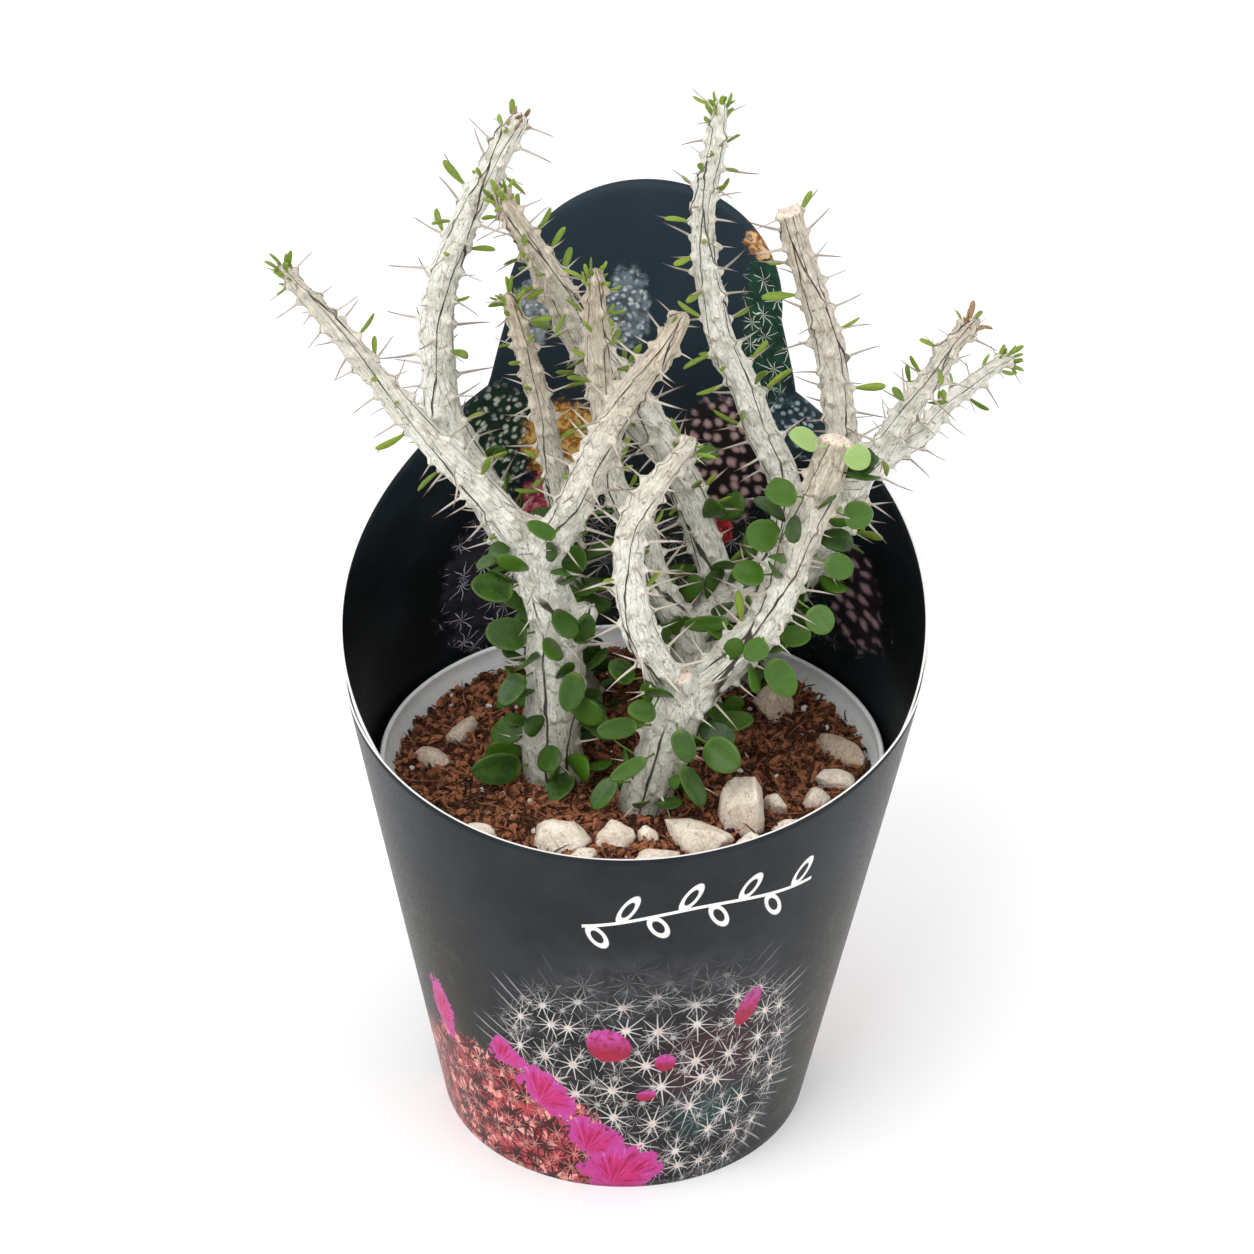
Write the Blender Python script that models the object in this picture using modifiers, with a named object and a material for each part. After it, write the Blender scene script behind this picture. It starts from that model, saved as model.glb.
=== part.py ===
"""A spiny, grey-barked succulent in a white nursery pot, dressed with a printed card sleeve.

Lengths are in millimetres and MM turns them into metres. The resting plane is z = 0, the pot's
axis is the Z axis and the front of the sleeve faces -Y. Five cuttings are rooted in one pot; each
is one woody solid with its shoots. Pieces that touch keep a gap of GAP.
"""
import math

import bmesh
import bpy
from mathutils import Matrix, Vector

MM = 0.001
GAP = 0.3

# nursery pot
POT_HEIGHT = 97.0
POT_RIM_RADIUS = 60.0
POT_BASE_RADIUS = 42.0
POT_WALL = 1.3
POT_FLOOR = 1.6
POT_LIP_HEIGHT = 5.0
POT_LIP_OVERHANG = 1.4
DRAIN_RADIUS = 3.5
DRAIN_CIRCLE_RADIUS = 30.0
DRAIN_COUNT = 6

# potting mix
SOIL_BELOW_RIM = 6.5
SOIL_CROWN = 2.6
ROOT_DEPTH = 20.0
PLANT_LEVEL = POT_HEIGHT - SOIL_BELOW_RIM - 0.5

# card sleeve: a wrap that is low in front and high behind, and a taller card inside it
CARD = 0.5
WRAP_FOOT_CLEARANCE = 4.0      # from the pot's base out to the wrap's outer face
WRAP_RIM_CLEARANCE = 3.27      # from the pot's rim out to the wrap's outer face
WRAP_FRONT_HEIGHT = POT_HEIGHT + 11.5
WRAP_BACK_HEIGHT = POT_HEIGHT + 42.0
WRAP_SLANT = 2.0
WRAP_LIFT = 0.3
WRAP_BASE_SHIFT = -2.0
BACK_CARD_HALF_ANGLE = 124.0   # degrees each way from the middle of the back
BACK_CARD_BOTTOM = 3.0
SHOULDER_HEIGHT = POT_HEIGHT + 65.0
SHOULDER_SLOPE = 0.56          # fall in mm for each degree round the cone
NECK_ANGLE = 31.3              # degrees from the middle of the back
DOME_ANGLE = 26.5
DOME_SPRING_HEIGHT = SHOULDER_HEIGHT + 16.0
DOME_TOP_HEIGHT = DOME_SPRING_HEIGHT + 31.5
DOME_TURN = 1.0                # degrees off the middle of the back, towards +X

STEM_SIDES_RESOLUTION = 2
STEM_STEP = 8.0
LEAF_THICKNESS = 1.3

# Each shoot is its name and its centre line, as (x, y, z, radius), with z above PLANT_LEVEL. The
# first shoot is the trunk, which starts near the top of the potting mix and is carried into it.
PLANTS = {
    "stem_front_left": (
        ("trunk", [(-18, -6, 0, 6.7), (-19, -6, 12, 6.3), (-18, -6, 23, 6.2), (-18, -5, 34, 6.0),
                   (-18, -5, 44, 5.4), (-20, -6, 52, 4.9), (-22, -7, 59, 5.0), (-23, -7, 66, 4.4)]),
        ("pruned_stub", [(-17, -5, 34, 4.4), (-13, -6, 42, 4.2), (-11, -7, 48, 3.7)]),
        ("outer_shoot", [(-22, -7, 60, 4.4), (-28, -8, 71, 4.6), (-34, -9, 79, 4.4),
                         (-44, -12, 92, 3.8), (-53, -15, 106, 3.2), (-61, -18, 119, 2.7),
                         (-67, -19, 127, 2.2), (-72, -20, 134, 1.5)]),
        ("inner_shoot", [(-22, -7, 57, 4.4), (-18, -9, 66, 4.6), (-13, -12, 76, 4.3),
                         (-9, -15, 87, 4.0), (-5, -17, 97, 3.6), (0, -19, 107, 3.4),
                         (6, -20, 116, 2.8), (10, -20, 123, 2.1)]),
    ),
    "stem_front_right": (
        ("trunk", [(2, -21, 2, 5.2), (5, -20, 11, 5.4), (8, -19, 20, 5.6), (10, -18, 27, 5.6),
                   (11, -18, 33, 4.8)]),
        ("pruned_stub", [(10.5, -18.5, 27, 3.6), (11, -19, 39, 2.8)]),
        ("upright_shoot", [(11, -18, 30, 3.6), (6, -22, 41, 3.8), (2, -25, 51, 3.7),
                           (0, -27, 61, 3.7), (-1, -28, 71, 3.6), (0, -29, 80, 3.4),
                           (4, -29, 88, 2.9), (8, -28, 93, 2.4), (12, -27, 98, 1.8)]),
        ("leafy_shoot", [(12, -18, 29, 4.4), (18, -16, 35, 4.6), (24, -14, 40, 4.8),
                         (30, -12, 47, 4.9), (34, -11, 57, 4.9), (37, -9, 66, 4.8),
                         (41, -8, 76, 4.7), (43, -7, 82, 4.5), (45, -6, 89, 4.2)]),
    ),
    "stem_middle": (
        ("trunk", [(17, 12, 1, 5.2), (16, 13, 14, 5.0), (14, 14, 25, 4.9), (13, 14, 31, 4.4)]),
        ("centre_shoot", [(14, 14, 29, 4.2), (8, 12, 39, 3.8), (5, 10, 47, 3.5), (3, 8, 58, 3.3),
                          (-2, 6, 68, 3.2), (-5, 5, 76, 3.1), (-6, 3, 88, 3.1),
                          (-7, 2, 100, 3.0), (-8, 1, 112, 2.8), (-8, 0, 125, 2.0)]),
        ("tall_shoot", [(14, 14, 28, 4.2), (20, 17, 35, 4.4), (26, 20, 38, 4.4),
                        (32, 22, 42, 4.4), (36, 24, 49, 4.3), (37, 25, 58, 4.2),
                        (35, 26, 67, 4.1), (30, 27, 77, 3.9), (26, 28, 88, 3.7),
                        (21, 28, 98, 3.5), (18, 28, 109, 3.2), (16, 27, 121, 2.9),
                        (16, 26, 133, 2.8), (18, 25, 145, 2.5), (19, 24, 155, 1.8)]),
        ("arching_shoot", [(22, 18, 36, 4.2), (20, 24, 41, 4.3), (17, 27, 49, 4.2),
                           (14, 28, 58, 4.1), (10, 28, 68, 3.9), (5, 27, 78, 3.6),
                           (0, 25, 87, 3.3), (-6, 21, 97, 3.0), (-10, 18, 105, 2.9),
                           (-15, 14, 116, 2.7), (-20, 10, 126, 2.5), (-25, 7, 135, 2.3),
                           (-28, 5, 141, 1.8)]),
        ("rear_shoot", [(10, 28, 68, 3.2), (2, 32, 74, 2.9), (-5, 34, 81, 2.8),
                        (-10, 34, 89, 2.6), (-15, 33, 100, 2.4), (-19, 32, 109, 2.3),
                        (-23, 31, 119, 2.2), (-28, 29, 129, 2.0), (-32, 28, 136, 1.6)]),
    ),
    "stem_back_left": (
        ("trunk", [(-12, 28, 0, 4.8), (-14, 27, 9, 4.6), (-18, 26, 21, 4.5), (-20, 25, 31, 4.3)]),
        ("leaning_shoot", [(-19, 25, 27, 4.0), (-24, 22, 42, 4.3), (-30, 20, 55, 4.3),
                           (-35, 19, 66, 4.2), (-40, 18, 76, 4.1), (-43, 17, 85, 4.0),
                           (-44, 17, 95, 3.7), (-44, 16, 107, 3.5), (-42, 16, 118, 3.1),
                           (-39, 16, 127, 2.9), (-35, 16, 136, 2.7), (-31, 16, 143, 2.6),
                           (-28, 16, 149, 2.5), (-25, 16, 154, 2.2)]),
        ("short_shoot", [(-19, 25, 27, 3.4), (-15, 22, 41, 3.3), (-15, 18, 55, 3.1),
                         (-17, 14, 67, 3.0), (-19, 12, 80, 2.8), (-21, 10, 92, 2.6),
                         (-23, 8, 102, 2.4), (-25, 6, 111, 2.2), (-27, 5, 118, 1.7)]),
    ),
    "stem_back_right": (
        ("trunk", [(25, 39, 0, 5.0), (30, 37, 14, 4.8), (37, 33, 30, 4.6), (44, 27, 44, 4.5),
                   (49, 22, 56, 4.2)]),
        ("cut_shoot", [(48, 23, 53, 4.0), (50, 22, 66, 4.0), (49, 24, 76, 3.9),
                       (48, 25, 84, 3.8), (46, 26, 94, 3.7), (43, 26, 105, 3.5),
                       (40, 26, 114, 3.3), (37, 25, 123, 3.1), (35, 24, 131, 2.8)]),
        ("outer_shoot", [(49, 22, 56, 3.4), (51, 16, 65, 3.4), (54, 12, 75, 3.3),
                         (58, 10, 82, 3.1), (62, 8, 91, 2.9), (67, 6, 100, 2.6),
                         (70, 4, 107, 2.4), (74, 2, 113, 1.9)]),
        ("side_shoot", [(53, 13, 72, 2.9), (61, 17, 76, 2.8), (67, 20, 79, 2.6),
                        (72, 22, 85, 2.3), (78, 23, 90, 2.0), (83, 24, 94, 1.7),
                        (86, 24, 96, 1.4)]),
    ),
}

# Each leaf is (base, tip, width, roll in degrees about its own length), with z above PLANT_LEVEL.
LEAVES = {
    "front_left": [
        ((-24, -11, 43), (-33, -15, 46), 7.6, 0), ((-27, -12, 55), (-36, -15, 58), 7.0, 15),
        ((-25, -12, 33), (-30, -17, 28), 5.6, 20), ((-26, -12, 8), (-37, -18, 11), 7.6, -20),
        ((-25, -5, 17), (-33, -5, 11), 6.6, 10), ((-13, -14, 35), (-15, -18, 27), 5.8, -10),
        ((-12, -13, 42), (-10, -14, 50), 5.0, 20), ((-17, -17, 71), (-23, -18, 75), 3.6, 0),
        ((-14, -14, 7), (-20, -19, 3), 5.6, 20), ((-15, -1, 53), (-12, 0, 60), 6.4, 0),
    ],
    "front_right": [
        ((5, -27, 32), (-1, -31, 35), 5.2, 10), ((1, -24, 27), (-8, -27, 27), 4.8, -10),
        ((0, -20, 36), (-5, -18, 40), 5.6, 25), ((10, -28, 28), (13, -32, 22), 5.2, 0),
        ((17, -25, 23), (24, -31, 20), 7.6, 15), ((18, -15, 21), (28, -13, 22), 5.4, -25),
        ((3, -29, 21), (-5, -33, 18), 3.8, 0), ((-4, -25, 13), (-9, -28, 7), 5.0, 20),
        ((11, -26, 17), (16, -30, 9), 5.2, -30), ((-5, -12, 16), (-11, -6, 20), 5.6, 20),
    ],
    "leafy_shoot": [
        ((30, -20, 46), (25, -23, 44), 5.2, 0), ((31, -19, 41), (36, -23, 34), 6.6, 0),
        ((40, -15, 52), (44, -19, 48), 6.4, 10), ((34, -8, 40), (41, -7, 41), 5.4, -15),
        ((22, -10, 46), (12, -6, 43), 3.8, -25), ((29, -16, 61), (22, -19, 63), 6.0, 10),
        ((32, -14, 69), (25, -16, 72), 7.2, -10), ((36, -13, 79), (29, -15, 81), 6.6, 15),
        ((43, -13, 63), (49, -15, 61), 6.0, 0), ((47, -11, 73), (53, -13, 75), 6.4, 10),
        ((40, -13, 91), (34, -15, 95), 5.2, 20), ((47, -12, 90), (51, -15, 87), 5.8, 0),
    ],
}
LEAF_FACING = (0.0, -0.8, 0.6)

# Each stone is (x, y, half length, half width, half height, turn in degrees), with x and y as
# shares of the potting mix's radius.
STONES = [
    (-0.29, -0.61, 6.6, 4.6, 4.4, 12), (-0.07, -0.59, 4.4, 4.0, 3.8, 40),
    (0.06, -0.58, 2.3, 2.2, 2.4, 0), (0.25, -0.6, 7.6, 4.6, 4.6, -32),
    (0.45, -0.45, 5.2, 6.4, 8.0, 15), (0.47, -0.64, 4.2, 2.8, 3.2, 20),
    (0.58, -0.36, 2.6, 2.6, 3.4, 60), (0.63, -0.51, 4.4, 2.8, 2.6, 15),
    (0.75, -0.29, 3.0, 3.0, 2.6, 0), (0.84, -0.16, 4.4, 2.8, 2.8, -20),
    (0.09, -0.73, 5.2, 2.6, 2.6, 5), (-0.19, -0.73, 3.2, 2.4, 2.6, 35),
    (0.61, 0.43, 4.9, 4.6, 4.8, 30), (0.89, 0.07, 7.0, 2.9, 3.0, -48),
    (-0.72, 0.23, 4.8, 2.4, 2.6, 55), (-0.84, 0.02, 4.6, 2.6, 2.6, -35),
    (-0.61, -0.55, 3.8, 2.6, 2.2, -20),
]
STONE_BURIED = 0.42

COLOURS = {
    "pot_plastic": ((0.82, 0.83, 0.82, 1), 0.42),
    "potting_mix": ((0.12, 0.045, 0.025, 1), 0.95),
    "sleeve_card": ((0.022, 0.026, 0.032, 1), 0.35),
    "bark": ((0.60, 0.57, 0.50, 1), 0.75),
    "leaf": ((0.07, 0.19, 0.03, 1), 0.4),
    "limestone": ((0.62, 0.53, 0.42, 1), 0.85),
}


def clear_scene():
    for leftover in list(bpy.data.objects):
        bpy.data.objects.remove(leftover, do_unlink=True)


def collection(name):
    made = bpy.data.collections.new(name)
    bpy.context.scene.collection.children.link(made)
    return made


def make_materials():
    made = {}
    for name, (colour, roughness) in COLOURS.items():
        material = bpy.data.materials.new(name)
        material.use_nodes = True
        shader = material.node_tree.nodes["Principled BSDF"]
        shader.inputs["Base Color"].default_value = colour
        shader.inputs["Roughness"].default_value = roughness
        made[name] = material
    return made


def add_object(name, data, group, material=None):
    made = bpy.data.objects.new(name, data)
    group.objects.link(made)
    if material is not None:
        made.data.materials.append(material)
    return made


def mesh_from(bm, name, smooth=True):
    mesh = bpy.data.meshes.new(name)
    bm.to_mesh(mesh)
    bm.free()
    for face in mesh.polygons:
        face.use_smooth = smooth
    return mesh


def hide_cutter(cutter):
    cutter.hide_render = True
    cutter.display_type = "WIRE"


def add_boolean(target, other, operation):
    modifier = target.modifiers.new(operation.lower(), "BOOLEAN")
    modifier.operation = operation
    modifier.object = other


def turned(name, profile, steps, group, material):
    """A solid of revolution about Z; the profile starts and ends on the axis."""
    bm = bmesh.new()
    corners = [bm.verts.new((x * MM, 0.0, z * MM)) for x, z in profile]
    for start, end in zip(corners, corners[1:]):
        bm.edges.new((start, end))
    turned_object = add_object(name, mesh_from(bm, name), group, material)
    screw = turned_object.modifiers.new("turn", "SCREW")
    screw.steps = screw.render_steps = steps
    screw.use_merge_vertices = True
    screw.merge_threshold = 0.0001
    return turned_object


def smooth_line(points, step):
    """Catmull-Rom samples of (x, y, z, radius) points, about one for each step of length."""
    ends = [points[0], *points, points[-1]]
    samples = []
    for before, start, end, after in zip(ends, ends[1:], ends[2:], ends[3:]):
        b, s, e, a = (Vector(point) for point in (before, start, end, after))
        count = max(1, round((e.xyz - s.xyz).length / step))
        for index in range(count):
            t = index / count
            samples.append(0.5 * (2 * s + (e - b) * t + (2 * b - 5 * s + 4 * e - a) * t * t
                                  + (3 * s - b - 3 * e + a) * t ** 3))
    samples.append(Vector(points[-1]))
    return samples


def tube(name, points, group, material=None, grow=0.0):
    """A closed mesh tube along a shoot's (x, y, z, radius) points, made from a bevelled curve."""
    data = bpy.data.curves.new(name, "CURVE")
    data.dimensions = "3D"
    data.bevel_depth = MM
    data.bevel_resolution = STEM_SIDES_RESOLUTION
    data.use_fill_caps = True
    samples = smooth_line(points, STEM_STEP)
    spline = data.splines.new("POLY")
    spline.points.add(len(samples) - 1)
    for point, sample in zip(spline.points, samples):
        place = sample.xyz + Vector((0, 0, PLANT_LEVEL))
        point.co = (*(place * MM), 1.0)
        point.radius = sample.w + grow
    curve = bpy.data.objects.new(name + "_curve", data)
    group.objects.link(curve)
    evaluated = curve.evaluated_get(bpy.context.evaluated_depsgraph_get())
    mesh = bpy.data.meshes.new_from_object(evaluated)
    mesh.name = name
    bm = bmesh.new()
    bm.from_mesh(mesh)
    bmesh.ops.remove_doubles(bm, verts=bm.verts, dist=0.00001)
    bm.to_mesh(mesh)
    bm.free()
    made = add_object(name, mesh, group, material)
    made.matrix_world = curve.matrix_world
    bpy.data.objects.remove(curve, do_unlink=True)
    return made


def buried(trunk, extra=0.0):
    """The trunk's centre line, carried straight down into the potting mix."""
    x, y, z, radius = trunk[0]
    return [(x, y, z - ROOT_DEPTH - extra, radius * 0.8), *trunk]


def pot_radius(z):
    return POT_BASE_RADIUS + (POT_RIM_RADIUS - POT_LIP_OVERHANG - POT_BASE_RADIUS) * z / POT_HEIGHT


def nursery_pot(group, cutters, material):
    lip_foot = POT_HEIGHT - POT_LIP_HEIGHT
    inner_floor_radius = pot_radius(POT_FLOOR) - POT_WALL
    profile = [
        (0, POT_FLOOR),
        (inner_floor_radius, POT_FLOOR),
        (pot_radius(lip_foot) - POT_WALL, lip_foot),
        (POT_RIM_RADIUS - POT_WALL, POT_HEIGHT - 1.0),
        (POT_RIM_RADIUS - POT_WALL * 0.6, POT_HEIGHT),
        (POT_RIM_RADIUS - POT_WALL * 0.2, POT_HEIGHT),
        (POT_RIM_RADIUS, POT_HEIGHT - 0.6),
        (POT_RIM_RADIUS, lip_foot),
        (pot_radius(lip_foot), lip_foot - 0.8),
        (POT_BASE_RADIUS, 0),
        (0, 0),
    ]
    pot = turned("nursery_pot", profile, 48, group, material)
    for index in range(DRAIN_COUNT):
        angle = math.tau * (index + 0.5) / DRAIN_COUNT
        bm = bmesh.new()
        place = Matrix.Translation((DRAIN_CIRCLE_RADIUS * math.cos(angle) * MM,
                                    DRAIN_CIRCLE_RADIUS * math.sin(angle) * MM,
                                    POT_FLOOR / 2 * MM))
        bmesh.ops.create_cone(bm, cap_ends=True, segments=12, radius1=DRAIN_RADIUS * MM,
                              radius2=DRAIN_RADIUS * MM, depth=3 * POT_FLOOR * MM, matrix=place)
        cutter = add_object(f"drain_cutter_{index + 1}", mesh_from(bm, "drain_cutter"), cutters)
        hide_cutter(cutter)
        add_boolean(pot, cutter, "DIFFERENCE")


def soil_radius(z):
    return pot_radius(z) - POT_WALL - GAP


def soil_height(reach):
    """The mix's top at a share of its radius: lowest at the pot's wall, crowned in the middle."""
    return POT_HEIGHT - SOIL_BELOW_RIM + SOIL_CROWN * (1 - reach ** 2)


def potting_mix(group, material):
    foot = POT_FLOOR + GAP
    edge = soil_radius(soil_height(1))
    top = [(edge * reach, soil_height(reach)) for reach in (0, 0.35, 0.7, 1)]
    profile = [*top, (soil_radius(foot), foot), (0, foot)]
    return turned("potting_mix", profile, 40, group, material)


def wrap_radius(z):
    foot = POT_BASE_RADIUS + WRAP_FOOT_CLEARANCE
    return foot + (POT_RIM_RADIUS + WRAP_RIM_CLEARANCE - foot) * z / POT_HEIGHT


def wrap_height(around):
    """The wrap's rim at an angle from the front: low in front, high behind, a little aslant."""
    fall = WRAP_BACK_HEIGHT - WRAP_FRONT_HEIGHT
    return WRAP_BACK_HEIGHT + WRAP_SLANT * math.sin(around) - fall * (1 + math.cos(around)) / 2


def wrap_shift(z):
    """The sleeve stands slightly askew: its foot is off the pot's axis, its middle is on it."""
    return WRAP_BASE_SHIFT * (1 - z / POT_HEIGHT)


def back_card_height(degrees):
    """The back card's edge, at an angle from the middle of the back towards +X."""
    shoulder = SHOULDER_HEIGHT - SHOULDER_SLOPE * (abs(degrees) - NECK_ANGLE)
    from_dome = abs(degrees - DOME_TURN)
    if from_dome < DOME_ANGLE:
        rise = DOME_TOP_HEIGHT - DOME_SPRING_HEIGHT
        return DOME_SPRING_HEIGHT + rise * math.sqrt(1 - (from_dome / DOME_ANGLE) ** 2)
    if from_dome < NECK_ANGLE:
        share = (from_dome - DOME_ANGLE) / (NECK_ANGLE - DOME_ANGLE)
        flank = DOME_SPRING_HEIGHT + (SHOULDER_HEIGHT - DOME_SPRING_HEIGHT) * share
        return max(flank, shoulder)
    return shoulder


def flared_sheet(name, angles, closed, bottom, top_of, inset, rows, group, material):
    """Card bent to the sleeve's cone between a level foot and an edge given by angle."""
    bm = bmesh.new()
    columns = []
    for around in angles:
        column = []
        for row in range(rows + 1):
            z = bottom + (top_of(around) - bottom) * row / rows
            radius = wrap_radius(z) - inset
            column.append(bm.verts.new(((radius * math.sin(around) + wrap_shift(z)) * MM,
                                        -radius * math.cos(around) * MM, z * MM)))
        columns.append(column)
    following = columns[1:] + columns[:1] if closed else columns[1:]
    for here, there in zip(columns, following):
        for row in range(rows):
            bm.faces.new((here[row], there[row], there[row + 1], here[row + 1]))
    sheet = add_object(name, mesh_from(bm, name), group, material)
    solidify = sheet.modifiers.new("thickness", "SOLIDIFY")
    solidify.thickness = CARD * MM
    solidify.offset = -1.0
    return sheet


def sleeve(group, material):
    steps = 72
    angles = [math.tau * index / steps for index in range(steps)]
    flared_sheet("sleeve_wrap", angles, True, WRAP_LIFT, wrap_height, 0.0, 2, group, material)
    inset = CARD + GAP
    # closer together over the dome, where the edge turns quickly
    dome = [DOME_ANGLE * math.sin(math.pi / 2 * index / 10) for index in range(-10, 11)]
    dome = [-NECK_ANGLE, *dome, NECK_ANGLE]
    left = [-BACK_CARD_HALF_ANGLE + (BACK_CARD_HALF_ANGLE - NECK_ANGLE + DOME_TURN) * index / 12
            for index in range(12)]
    right = [BACK_CARD_HALF_ANGLE - (BACK_CARD_HALF_ANGLE - NECK_ANGLE - DOME_TURN) * index / 12
             for index in range(12)]
    degrees = left + [angle + DOME_TURN for angle in dome] + right[::-1]
    angles = [math.pi - math.radians(angle) for angle in reversed(degrees)]
    flared_sheet("sleeve_back_card", angles, False, BACK_CARD_BOTTOM,
                 lambda around: back_card_height(math.degrees(math.pi - around)), inset, 3,
                 group, material)


def stems(group, cutters, material, soil):
    for name, shoots in PLANTS.items():
        trunk_line = buried(shoots[0][1])
        plant = tube(name, trunk_line, group, material)
        for shoot_name, line in shoots[1:]:
            shoot = tube(f"{name}_{shoot_name}", line, cutters)
            hide_cutter(shoot)
            add_boolean(plant, shoot, "UNION")
        pocket = tube(f"{name}_pocket", buried(shoots[0][1][:3], GAP), cutters, grow=GAP)
        hide_cutter(pocket)
        add_boolean(soil, pocket, "DIFFERENCE")


def leaf(name, base, tip, width, roll, group, material):
    """A flattened ellipsoid whose X runs from base to tip and whose Z is its face."""
    along = Vector(tip) - Vector(base)
    forward = along.normalized()
    facing = Vector(LEAF_FACING)
    face = (facing - facing.dot(forward) * forward).normalized()
    face.rotate(Matrix.Rotation(math.radians(roll), 3, forward))
    across = face.cross(forward)
    turn = Matrix((forward, across, face)).transposed().to_4x4()
    bm = bmesh.new()
    bmesh.ops.create_uvsphere(bm, u_segments=10, v_segments=6, radius=0.5 * MM)
    bmesh.ops.scale(bm, vec=(along.length, width, LEAF_THICKNESS), verts=bm.verts)
    made = add_object(name, mesh_from(bm, name), group, material)
    middle = (Vector(base) + Vector(tip)) / 2 + Vector((0, 0, PLANT_LEVEL))
    made.matrix_world = Matrix.Translation(middle * MM) @ turn


def leaves(group, material):
    for where, rows in LEAVES.items():
        for number, (base, tip, width, roll) in enumerate(rows, start=1):
            leaf(f"leaf_{where}_{number:02d}", base, tip, width, roll, group, material)


def stone_shape(name, index, size, grow, group, material=None):
    """A blocky pebble: a coarse sphere with its corners pushed in and out by a fixed rule."""
    bm = bmesh.new()
    bmesh.ops.create_icosphere(bm, subdivisions=2, radius=1.0)
    for vert in bm.verts:
        x, y, z = vert.co
        wave = (math.sin(2.3 * x + 1.7 * index) + math.sin(2.9 * y - 2.1 * index)
                + math.sin(2.6 * z + 0.9 * index))
        vert.co *= 1 + 0.06 * wave
        vert.co = Vector([(half * part + grow * part) * MM for half, part in zip(size, vert.co)])
    return add_object(name, mesh_from(bm, name, smooth=False), group, material)


def stones(group, cutters, material, soil):
    reach = soil_radius(soil_height(1))
    for index, (x, y, length, width, height, turn) in enumerate(STONES):
        size = (length, width, height)
        z = soil_height(math.hypot(x, y)) + height * (1 - 2 * STONE_BURIED)
        middle = Vector((x * reach, y * reach, z)) * MM
        place = Matrix.Translation(middle) @ Matrix.Rotation(math.radians(turn), 4, "Z")
        stone = stone_shape(f"stone_{index + 1:02d}", index, size, 0.0, group, material)
        stone.matrix_world = place
        pocket = stone_shape(f"stone_pocket_{index + 1:02d}", index, size, 2 * GAP, cutters)
        pocket.matrix_world = place
        hide_cutter(pocket)
        add_boolean(soil, pocket, "DIFFERENCE")


def main():
    clear_scene()
    group = collection("potted_succulent")
    cutters = collection("cutters")
    materials = make_materials()
    nursery_pot(group, cutters, materials["pot_plastic"])
    soil = potting_mix(group, materials["potting_mix"])
    sleeve(group, materials["sleeve_card"])
    stems(group, cutters, materials["bark"], soil)
    leaves(group, materials["leaf"])
    stones(group, cutters, materials["limestone"], soil)


main()
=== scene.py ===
import math
import random

import bmesh
import bpy
import numpy as np
from mathutils import Matrix, Vector, noise as fractal


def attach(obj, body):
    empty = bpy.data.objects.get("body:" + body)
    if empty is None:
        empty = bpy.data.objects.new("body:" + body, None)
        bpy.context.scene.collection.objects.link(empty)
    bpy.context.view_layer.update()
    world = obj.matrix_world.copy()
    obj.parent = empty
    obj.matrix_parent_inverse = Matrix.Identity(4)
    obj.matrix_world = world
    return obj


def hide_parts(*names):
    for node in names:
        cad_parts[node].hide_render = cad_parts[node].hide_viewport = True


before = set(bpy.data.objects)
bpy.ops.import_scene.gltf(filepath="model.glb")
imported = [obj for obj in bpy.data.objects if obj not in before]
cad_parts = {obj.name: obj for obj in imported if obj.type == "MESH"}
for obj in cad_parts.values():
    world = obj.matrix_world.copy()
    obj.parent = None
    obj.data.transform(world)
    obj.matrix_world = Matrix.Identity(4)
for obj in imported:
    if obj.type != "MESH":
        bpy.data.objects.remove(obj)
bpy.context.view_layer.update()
mm = 0.001
print("frame loaded:", len(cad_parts), "nodes")


# node helpers
class Wire:
    # an output in a node tree, so that a formula made of nodes reads as plain sums
    def __init__(self, tree, socket):
        self.tree, self.socket = tree, socket

    def __add__(self, other):
        return calc("ADD", self, other)

    def __radd__(self, other):
        return calc("ADD", other, self)

    def __sub__(self, other):
        return calc("SUBTRACT", self, other)

    def __rsub__(self, other):
        return calc("SUBTRACT", other, self)

    def __mul__(self, other):
        return calc("MULTIPLY", self, other)

    def __rmul__(self, other):
        return calc("MULTIPLY", other, self)

    def __truediv__(self, other):
        return calc("DIVIDE", self, other)

    def __pow__(self, other):
        return calc("POWER", self, other)

    def __abs__(self):
        return calc("ABSOLUTE", self)


class Outputs:
    # a node's outputs as wires, by number or by name
    def __init__(self, tree, node):
        self.tree, self.node = tree, node

    def __getitem__(self, key):
        return Wire(self.tree, self.node.outputs[key])


def feed(socket, value):
    if isinstance(value, Wire):
        value.tree.links.new(value.socket, socket)
    else:
        socket.default_value = value


def put(tree, kind, *values, named=None, **settings):
    # one node: its settings first, then its inputs in order, then inputs by name or number
    made = tree.nodes.new(kind)
    for name, value in settings.items():
        setattr(made, name, value)
    for slot, value in enumerate(values):
        feed(made.inputs[slot], value)
    for name, value in (named or {}).items():
        feed(made.inputs[name], value)
    return Outputs(tree, made)


def treeOf(values):
    return next(value.tree for value in values if isinstance(value, Wire))


def calc(operation, *values, clamp=False):
    return put(treeOf(values), "ShaderNodeMath", *values, operation=operation, use_clamp=clamp)[0]


def vec(operation, first, *others):
    # what SCALE multiplies by is a plain number
    second = "Scale" if operation == "SCALE" else 1
    made = put(first.tree, "ShaderNodeVectorMath", first, named=dict(zip((second, 2), others)),
               operation=operation)
    return made["Value" if operation == "LENGTH" else "Vector"]


def xyz(*values):
    return put(treeOf(values), "ShaderNodeCombineXYZ", *values)[0]


def split(place):
    return put(place.tree, "ShaderNodeSeparateXYZ", place)


def ramp(value, low, high, toLow=0.0, toHigh=1.0):
    # an eased step from one value to another
    return put(value.tree, "ShaderNodeMapRange", value, low, high, toLow, toHigh,
               interpolation_type="SMOOTHSTEP")[0]


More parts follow.
